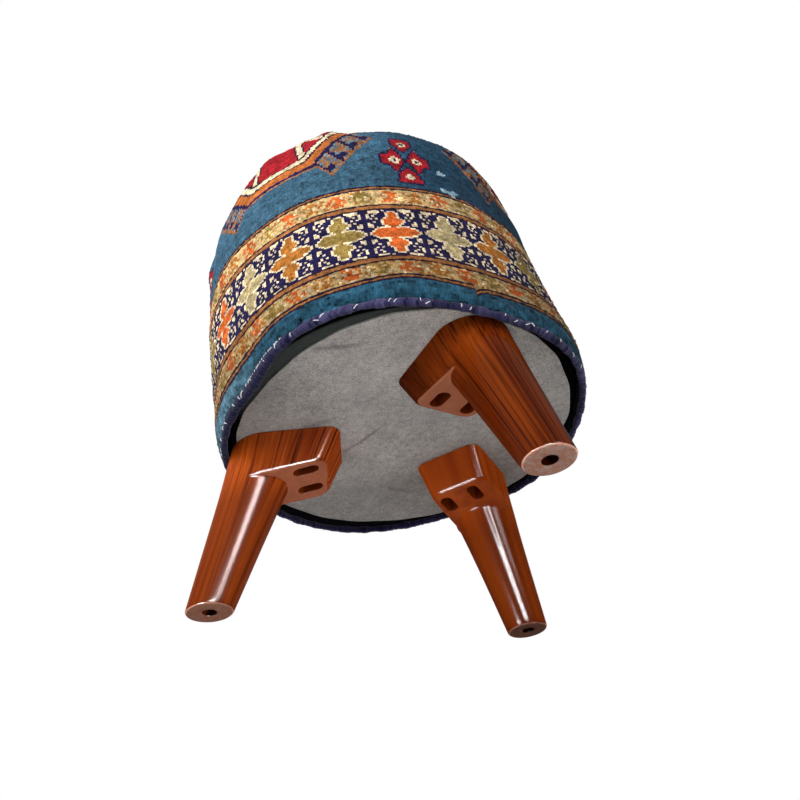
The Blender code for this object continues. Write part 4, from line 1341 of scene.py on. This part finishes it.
def wedged(points, twist, slanted):
    # lowers points in step with their distance from the plate's inner end, most at the lower face;
    # all but the pockets then follow the slanted centre line
    x, y, z = points.T
    off = x - legCentre(z)
    along = off * math.cos(math.radians(twist)) + y * math.sin(math.radians(twist))
    up = (leg["height"] - z) / leg["plateThickness"]
    down = (z - leg["wedgeEnd"]) / (leg["plateBottom"] - leg["wedgeEnd"])
    share = np.clip(np.where(z >= leg["plateBottom"], up, down), 0, 1)
    drop = leg["wedge"] * innerEnd(along) * share
    if not slanted:
        return np.stack([x, y, z - drop / (1 + leg["wedge"] * leg["splay"] / leg["height"])], -1)
    lower = z - drop
    scale = 1 + (shankRadius(lower) / shankRadius(z) - 1) * np.clip(along / leg["wedgeWiden"], 0, 1)
    return np.stack([legCentre(lower) + off * scale, y * scale, lower], -1)


def plateOutline(height, inset, twist):
    # the round head, a side, two rounded inner corners and the other side, as one ring
    draft = leg["plateDraft"] * (leg["height"] - height) / leg["plateThickness"]
    middle = legCentre(height)
    half = leg["plateWidth"] / 2 - draft - inset
    inner = middle - leg["plateLength"] + draft + inset
    corner = leg["plateCorner"] - inset
    a = np.linspace(-np.pi / 2, np.pi / 2, leg["arcSteps"] + 1)
    head = np.stack([middle + shankRadius(height) * np.cos(a), shankRadius(height) * np.sin(a)], -1)
    sideX = np.linspace(middle - leg["sideBlend"], inner + corner, 9)[:-1]
    side = np.stack([sideX, np.full(len(sideX), half)], -1)
    q = np.linspace(0, np.pi / 2, 11)
    bend = np.stack([inner + corner - corner * np.sin(q), half - corner + corner * np.cos(q)], -1)
    backY = np.linspace(half - corner, corner - half, 7)[1:-1]
    back = np.stack([np.full(len(backY), inner), backY], -1)
    flipped = np.array([1, -1])
    ring = np.concatenate([head, side, bend, back, bend[::-1] * flipped, side[::-1] * flipped])
    return atHeight(twisted(ring, middle, twist), height)


def shankRing(height, radius, twist, fillet=0.0):
    # a circle round the slanted centre line, its inner half wider where it meets the plate
    a = -np.pi / 2 + np.pi * np.arange(2 * leg["arcSteps"]) / leg["arcSteps"]
    reach = radius + fillet * np.maximum(0.0, -np.cos(a)) ** 0.5
    ring = np.stack([legCentre(height) + reach * np.cos(a), reach * np.sin(a)], -1)
    return atHeight(twisted(ring, legCentre(height), twist), height)


def pocketRing(y, height, inset):
    # an oblong: two half circles and the straight runs between them
    straight = (leg["pocketLength"] - leg["pocketWidth"]) / 2
    radius = leg["pocketWidth"] / 2 - inset
    a = np.linspace(-np.pi / 2, np.pi / 2, 13)
    end = np.stack([straight + radius * np.cos(a), radius * np.sin(a)], -1)
    ring = np.concatenate([end, -end]) + (leg["pocketCircle"], y)
    return atHeight(twisted(ring, leg["headCircle"], leg["pocketTurn"]), height)


def plateRings(twist):
    # the broken upper edge, the drafted sides and the rounded lower edge
    q = np.linspace(0, np.pi / 2, 7)
    bottom, edge = leg["plateBottom"], leg["plateEdge"]
    sides = np.linspace(leg["height"] - leg["topBreak"], bottom + edge, 9)[:-1]
    heights = np.concatenate([sides, bottom + edge * (1 - np.sin(q))])
    insets = np.concatenate([np.zeros(len(sides)), edge * (1 - np.cos(q))])
    top = plateOutline(leg["height"], 0.0, twist)
    middle = np.array([legCentre(leg["height"]), 0, leg["height"]])
    rings = [middle + (top - middle) * (1 - leg["topBreak"] / leg["headRadius"])]
    return np.stack(rings + [plateOutline(height, inset, twist) for height, inset in zip(heights, insets)])


def pocketRings(y):
    # a rounded rim, then slightly drafted sides up to the pocket's end
    bottom, rim = leg["plateBottom"], leg["pocketRim"]
    rings = [pocketRing(y, bottom + rim * (1 - np.cos(t)), -rim * (1 - np.sin(t)))
             for t in np.linspace(0, np.pi / 2, 7)[::2]]
    above, count = leg["pocketSides"]
    heights = np.linspace(bottom + above, leg["pocketTop"], count)
    return np.stack(rings + [pocketRing(y, h, leg["pocketDraft"] * k) for k, h in enumerate(heights)])


def shankRings(neck, twist):
    # the neck's fillet, the shank, the rounded foot, the flat sole and the core going up
    q = np.linspace(0, np.pi / 2, 7)
    bottom, fillet, edge, core = leg["plateBottom"], leg["neckFillet"], leg["footEdge"], leg["coreRadius"]
    turns = [(bottom - fillet * (1 - math.cos(t)), 0.0, fillet * (1 - math.sin(t))) for t in q[1:]]
    turns += [(h, 0.0, 0.0) for h in np.linspace(bottom - fillet, edge, leg["shankSteps"])[1:-1]]
    turns += [(edge * (1 - math.sin(t)), edge * (1 - math.cos(t)), 0.0) for t in q]
    rings = [neck] + [shankRing(h, shankRadius(h) - inset, twist, wider) for h, inset, wider in turns]
    sole = np.linspace(shankRadius(0) - edge, core + leg["coreRim"], leg["soleSteps"])[1:]
    hollow = [(height, core + wider) for height, wider in leg["coreRings"]]
    rings += [shankRing(h, r, twist) for h, r in [(0.0, r) for r in sole] + hollow]
    return np.stack(rings)


def insideLoop(places, loop):
    # counts how often a line running right from each place crosses the closed loop
    x, y = places[:, 0, None], places[:, 1, None]
    x0, y0 = loop.T
    x1, y1 = np.roll(x0, -1), np.roll(y0, -1)
    crosses = (y0 > y) != (y1 > y)
    at = x0 + (y - y0) * (x1 - x0) / np.where(y1 == y0, 1e-12, y1 - y0)
    return np.sum(crosses & (x < at), axis=1) % 2 == 1


def lowerFace(outer, holes, twist):
    # triangles between an outer loop and two holes, all facing down, and their lowered corners
    loops = [loop[:, :2] for loop in (outer, *holes)]
    flat = np.concatenate(loops)
    starts = np.cumsum([0] + [len(loop) for loop in loops])
    edges = [(int(first + i), int(first + (i + 1) % (end - first)))
             for first, end in zip(starts, starts[1:]) for i in range(end - first)]
    found = geometry.delaunay_2d_cdt([Vector(p) for p in flat.tolist()], edges, [], 0, 1e-7)
    corners = np.array([p[:] for p in found[0]])
    faces = np.array(found[2])
    middles = corners[faces].mean(1)
    within = [insideLoop(middles, loop) for loop in loops]
    faces = faces[within[0] & ~within[1] & ~within[2]]
    a, b, c = (corners[faces[:, k]] for k in range(3))
    area = (b[:, 0] - a[:, 0]) * (c[:, 1] - a[:, 1]) - (b[:, 1] - a[:, 1]) * (c[:, 0] - a[:, 0])
    faces = np.where((area > 0)[:, None], faces[:, ::-1], faces)
    # each corner takes the place that its point has in the lowered loops
    lowered = np.concatenate([wedged(outer, twist, True), *[wedged(hole, twist, False) for hole in holes]])
    nearest = np.argmin(np.sum((corners[:, None] - flat[None]) ** 2, axis=2), axis=1)
    return lowered[nearest], faces


def legSurface(twist):
    # rings down the plate's sides, the pockets as rings going up, then rings down the shank, round the
    # sole and up the core, and the plate's lower face between them; hollow is 1 in pockets and core
    points, quads, triangles, hollow = [], [], [], []
    total = 0

    def addRings(rings, middle, slanted, depth, flip):
        # one set of rings, closed by a fan from its last ring, or from its first when that is the top
        nonlocal total
        rows, columns = rings.shape[:2]
        points.extend([wedged(rings.reshape(-1, 3), twist, slanted), middle])
        hollow.append(np.append(np.repeat(depth, columns), depth[-1]))
        quads.append(gridQuads(rows, columns)[:, ::-1] + total)
        closing = np.arange(columns) + total + ((rows - 1) * columns if flip else 0)
        triangles.append(fanTriangles(closing, total + rows * columns, flip))
        total += rows * columns + 1

    plate = plateRings(twist)
    addRings(plate, plate[0].mean(0)[None], True, np.zeros(len(plate)), False)
    pockets = [pocketRings(y) for y in (-leg["pocketSpacing"] / 2, leg["pocketSpacing"] / 2)]
    for rings in pockets:
        deep = np.minimum(np.arange(len(rings)) / 3, 1.0)
        addRings(rings, wedged(rings[-1].mean(0)[None], twist, False), False, deep, True)
    n = leg["arcSteps"]
    neck = shankRing(leg["plateBottom"], shankRadius(leg["plateBottom"]), twist, leg["neckFillet"])
    neck[:n + 1] = plate[-1][:n + 1]
    rings = shankRings(neck, twist)
    inCore = np.arange(len(rings)) >= len(rings) - 3
    addRings(rings, wedged(rings[-1].mean(0)[None], twist, True), True, inCore * 1.0, True)

    outer = np.concatenate([plate[-1][n:], plate[-1][:1], neck[n + 1:][::-1]])
    corners, faces = lowerFace(outer, [rings[0] for rings in pockets], twist)
    points.append(corners)
    hollow.append(np.zeros(len(corners)))
    triangles.append(faces + total)
    return np.concatenate(points), np.concatenate(quads), np.concatenate(triangles), np.concatenate(hollow)


def legMaterial(name, own):
    # grained brown lacquer with painted light and shade, bare plastic on the lower face and the sole, and in
    # the hollows no gloss and a painted shade
    material, tree, shader = newMaterial(name, {"Roughness": 0.4, "Coat Roughness": own["dullness"],
                                                "Specular IOR Level": 0.0})
    local = ownValue(tree, "grainPlace", "Vector")
    bare = ownValue(tree, "barePlastic")     # 1 on the lower face and 2 on the sole
    hole = ownValue(tree, "hollowShade")
    fromHead, _, level = addNode(tree, "SeparateXYZ", None, {0: local}).outputs
    amount = spread(tree, level, 0.085, 0.115, own["shankGrain"], own["plateGrain"])
    place = own["place"]
    moved = stretched(tree, local, (1.0, 1.0, 1.0), (place, place * 0.7, place * 0.2))
    grain = useGroup(tree, woodGrain, {"Place": moved, "Fine": 520.0, "Amount": amount})
    wide = noise(tree, stretched(tree, moved, (1, 1, 0.05)), 60.0, 2.0)
    brown = blendColours(tree, spread(tree, wide, 0.35, 0.65), tint(116, 42, 8), tint(146, 62, 14))
    paleLines = times(tree, grain["Pale Lines"], times(tree, amount, 0.35))
    brown = blendColours(tree, paleLines, brown, tint(170, 86, 30))
    brown = blendColours(tree, grain["Dark Lines"], brown, tint(52, 14, 3))
    # painted light and shade: each leg's lacquer made lighter or darker on plate, head and shank
    upper = spread(tree, fromHead, -0.030, -0.010, own["platePaintedLight"], own["headPaintedLight"])
    brown = lightened(tree, brown, spread(tree, level, 0.088, 0.116, own["shankPaintedLight"], upper))
    sole = calc(tree, "SUBTRACT", bare, 1.0, True)
    # pale rubbed patches on the sole: partly real scuffs, partly painted highlights
    rubbed = spread(tree, noise(tree, local, 160.0, 6.0, 0.75, 0.6), 0.42, 0.56)
    scuffsAndGlints = times(tree, times(tree, rubbed, sole), own["pale"] ** 4)
    plastic = blendColours(tree, noise(tree, local, 90.0, 3.0), tint(176, 106, 76), tint(196, 124, 94))
    # the sole paler by each leg's pale: partly its own pale plastic, partly painted light
    plastic = blendColours(tree, times(tree, sole, own["pale"]), plastic, tint(236, 172, 144))
    plastic = blendColours(tree, scuffsAndGlints, plastic, tint(240, 212, 198))
    bare = calc(tree, "ADD", times(tree, bare, own["bareness"]), sole, True)
    # painted shade: the pockets and the core take a plain dark brown
    colour = blendColours(tree, hole, blendColours(tree, bare, brown, plastic), tint(112, 44, 12))
    tree.links.new(spread(tree, bare, 0.0, 1.0, 0.40, 0.6), shader.inputs["Roughness"])
    tree.links.new(spread(tree, hole, 0.0, 1.0, own["gloss"], 0.0), shader.inputs["Coat Weight"])
    dress(tree, shader, colour, grain["Height"], 0.015, 0.0004)
    return material


def barePlaces(points):
    # 1 on the plate's lower face clear of the shank, 2 on the sole
    x, y, height = points.T
    fromAxis = x - legCentre(height)
    faceHeight = leg["plateBottom"] - leg["wedge"] * innerEnd(fromAxis)
    nearFace = np.abs(height - faceHeight) < leg["bareBand"]
    clear = (np.hypot(fromAxis, y) > leg["bareRadius"]) & (fromAxis < -leg["bareFrom"])
    return np.where(nearFace & clear, 1.0, 0.0) + np.where(height < leg["soleBand"], 2.0, 0.0)


def grainPlaces(points):
    # the printed grain narrows with the shank and slants less on the plate than the shank does
    x, y, height = points.T
    neck = legCentre(leg["plateBottom"])
    centre = legCentre(height)
    axis = np.where(height > leg["plateBottom"], neck + leg["grainSlant"] * (centre - neck), centre)
    narrow = leg["grainRadius"] / shankRadius(height)
    return np.stack([(x - axis) * narrow, y * narrow, height], -1)


def weld(piece):
    # joins the rings that meet, then turns every face outwards
    shell = bmesh.new()
    shell.from_mesh(piece.data)
    bmesh.ops.remove_doubles(shell, verts=shell.verts, dist=1e-6)
    bmesh.ops.recalc_face_normals(shell, faces=shell.faces)
    shell.to_mesh(piece.data)
    shell.free()
    mesh = piece.data
    mesh.shade_smooth()
    mesh.set_sharp_from_angle(angle=math.radians(leg["sharpAngle"]))
    # flat triangulated faces keep their own shading: an edge shared by a triangle and a quad is sharp
    sizes, starts = (np.empty(len(mesh.polygons), dtype=np.int32) for _ in range(2))
    mesh.polygons.foreach_get("loop_total", sizes)
    mesh.polygons.foreach_get("loop_start", starts)
    edges = np.empty(len(mesh.loops), dtype=np.int32)
    mesh.loops.foreach_get("edge_index", edges)
    inOrder = sizes[np.argsort(starts)]
    perLoop = np.repeat(inOrder, inOrder)
    sharp = np.zeros(len(mesh.edges), dtype=bool)
    mesh.attributes["sharp_edge"].data.foreach_get("value", sharp)
    few, many = np.full(len(sharp), 9), np.zeros(len(sharp))
    np.minimum.at(few, edges, perLoop)
    np.maximum.at(many, edges, perLoop)
    mesh.attributes["sharp_edge"].data.foreach_set("value", sharp | (few != many))


def makeLegs():
    for name, own in legs.items():
        points, quads, triangles, hollow = legSurface(own["twist"])
        # the foot moves in or round by a share that grows down the shank
        share = np.maximum(0.0, 1 - points[:, 2] / leg["plateBottom"])[:, None]
        moved = points + share * (*own["footMove"], 0.0) + (own["setOut"], 0.0, 0.0)
        spin = np.array(Matrix.Rotation(math.radians(own["turn"]), 3, "Z"))
        material = legMaterial(name + "Lacquer", own)
        faces = [quads, triangles]
        piece = makePiece(name + "_moulding", moved @ spin.T, faces, material, [name])
        addValues(piece, "grainPlace", "FLOAT_VECTOR", "POINT", grainPlaces(points))
        addValues(piece, "barePlastic", "FLOAT", "POINT", barePlaces(points))
        addValues(piece, "hollowShade", "FLOAT", "POINT", hollow)
        weld(piece)
    print("legs:", len(legs), "of", len(quads) + len(triangles), "faces")


makeLegs()


# what lies inside: wadding round the wall, foam on top, and finishes for the CAD nodes that stay

wadding = {
    "columns": 180,
    "rows": 24,
    "lift": 0.012,               # its lower edge stays this far above the solid's
    "steps": 400,                # steps of the drum's profile that it can reach
    "under": 0.0004,             # below the rug's back
    "gap": (0.0003, 0.0002),     # of its outside and its inside off the wall
    "unevenness": 0.0006,
}


def makeWadding():
    # a sleeve between the rug's back and the wall, uneven on its outside
    low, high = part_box("side_wadding")
    wallLow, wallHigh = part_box("side_wall")
    columns, steps = wadding["columns"], wadding["steps"]
    heights = np.linspace(low[2] + wadding["lift"], high[2], wadding["rows"])
    theta, z = np.meshgrid(2 * np.pi * np.arange(columns) / columns, heights)
    length = np.interp(z, profileHeight[:steps], profileLength[:steps])
    uneven = wadding["unevenness"] * (1 + np.sin(11 * theta) * np.sin(60 * z))
    outGap, inGap = wadding["gap"]
    outer = offTheWall(drumPoints(theta, length, rug["thickness"] + wadding["under"] + uneven), outGap)
    wall = float(wallHigh[0] - wallLow[0]) / 2 + inGap
    inner = np.stack([wall * np.cos(theta), wall * np.sin(theta), outer[..., 2]], -1)[::-1]
    points = np.concatenate([outer, inner])
    material = clothMaterial("whiteWadding", {"Roughness": 1.0, "Specular IOR Level": 0.1}, 400.0,
                             tint(206, 204, 198), tint(236, 234, 228), 0.6, 0.001)
    faces = [gridQuads(len(points), columns, tube=True)]
    piece = makePiece("wadding_wrap", points, faces, material, ["side_wadding"], sharp=60)


foam = {
    "columns": 180,
    "rows": 40,
    "under": 0.0012,
    "lift": 0.001,
    "gap": 0.008,                # from its last row to the crown's middle
    "base": (0.97, 0.6, 0.2),    # rings of the flat base, as shares of its edge
    "unevenness": 0.0006,
}


def foamMaterial():
    material, tree, shader = newMaterial("yellowFoam", {"Roughness": 0.95, "Specular IOR Level": 0.1})
    inputs = {"Vector": objectPlace(tree), "Scale": 900.0}
    cells = addNode(tree, "TexVoronoi", None, inputs).outputs["Distance"]
    colour = blendColours(tree, cells, tint(196, 178, 120), tint(232, 220, 176))
    dress(tree, shader, colour, cells, 0.6, 0.0006)
    return material


def makeFoam():
    # a dome under the rug's crown, closed by a flat base
    low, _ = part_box("top_foam")
    columns = foam["columns"]
    first = float(np.interp(low[2] + foam["lift"], profileHeight, profileLength))
    lengths = np.linspace(first, profileLength[-1] - foam["gap"], foam["rows"])
    theta, length = np.meshgrid(2 * np.pi * np.arange(columns) / columns, lengths)
    uneven = foam["unevenness"] * (1 + np.sin(6 * theta) * np.sin(50 * length))
    top = drumPoints(theta, length, rug["thickness"] + foam["under"] + uneven)
    middle = top[0].mean(0)
    base = np.array(foam["base"])[:, None, None] * (top[0] - middle) + middle
    rows = len(base) + len(top)
    points, caps = closedEnds(np.concatenate([base[::-1], top]), rows, columns,
                              base[-1].mean(0), top[-1].mean(0))
    faces = [gridQuads(rows, columns), *caps]
    piece = makePiece("foam_dome", points, faces, foamMaterial(), ["top_foam"], sharp=60)


def woodMaterial(name, pale, dark, turn, fine):
    # grain turned to run along the piece
    material, tree, shader = newMaterial(name, {"Roughness": 0.65, "Specular IOR Level": 0.3})
    laid = addNode(tree, "Mapping", None, {"Vector": objectPlace(tree), "Rotation": turn}).outputs[0]
    grain = useGroup(tree, woodGrain, {"Place": laid, "Fine": fine, "Amount": 0.7})
    colour = blendColours(tree, grain["Pale Lines"], pale, dark)
    colour = blendColours(tree, times(tree, grain["Dark Lines"], 0.5), colour, dark)
    dress(tree, shader, colour, grain["Height"], 0.2, 0.0004)
    return material


def metalMaterial(name, dark, pale, rough):
    # a haze that changes the colour and the gloss
    material, tree, shader = newMaterial(name, {"Metallic": 1.0})
    haze = noise(tree, objectPlace(tree), 700.0, 2.0)
    tree.links.new(blendColours(tree, haze, dark, pale), shader.inputs["Base Color"])
    tree.links.new(spread(tree, haze, 0.3, 0.7, rough - 0.08, rough + 0.1), shader.inputs["Roughness"])
    return material


def finishNodes():
    # the CAD nodes that stay in view, by how their names start
    quarter = math.pi / 2
    ply = woodMaterial("birchPly", tint(214, 180, 132), tint(168, 122, 76), (0.0, quarter, 0.0), 380.0)
    pine = woodMaterial("pineBatten", tint(222, 186, 130), tint(180, 128, 70), (0.0, 0.0, 0.0), 420.0)
    board = woodMaterial("brownHardboard", tint(118, 82, 52), tint(84, 54, 32), (quarter, 0.0, 0.0), 1500.0)
    zinc = metalMaterial("zincScrew", tint(176, 176, 172), tint(205, 204, 198), 0.35)
    black = metalMaterial("blackScrew", tint(30, 30, 32), tint(54, 54, 56), 0.42)
    finishes = {"bottom_board": ply, "top_board": ply, "side_wall": board, "frame_post": pine, "post_": zinc,
                "leg_": black}
    for name, node in cadNodes.items():
        for start, material in finishes.items():
            if name.startswith(start) and not node.hide_render:
                node.data.materials.clear()
                node.data.materials.append(material)


makeWadding()
makeFoam()
print("wadding and foam made")
finishNodes()
print("CAD nodes finished")
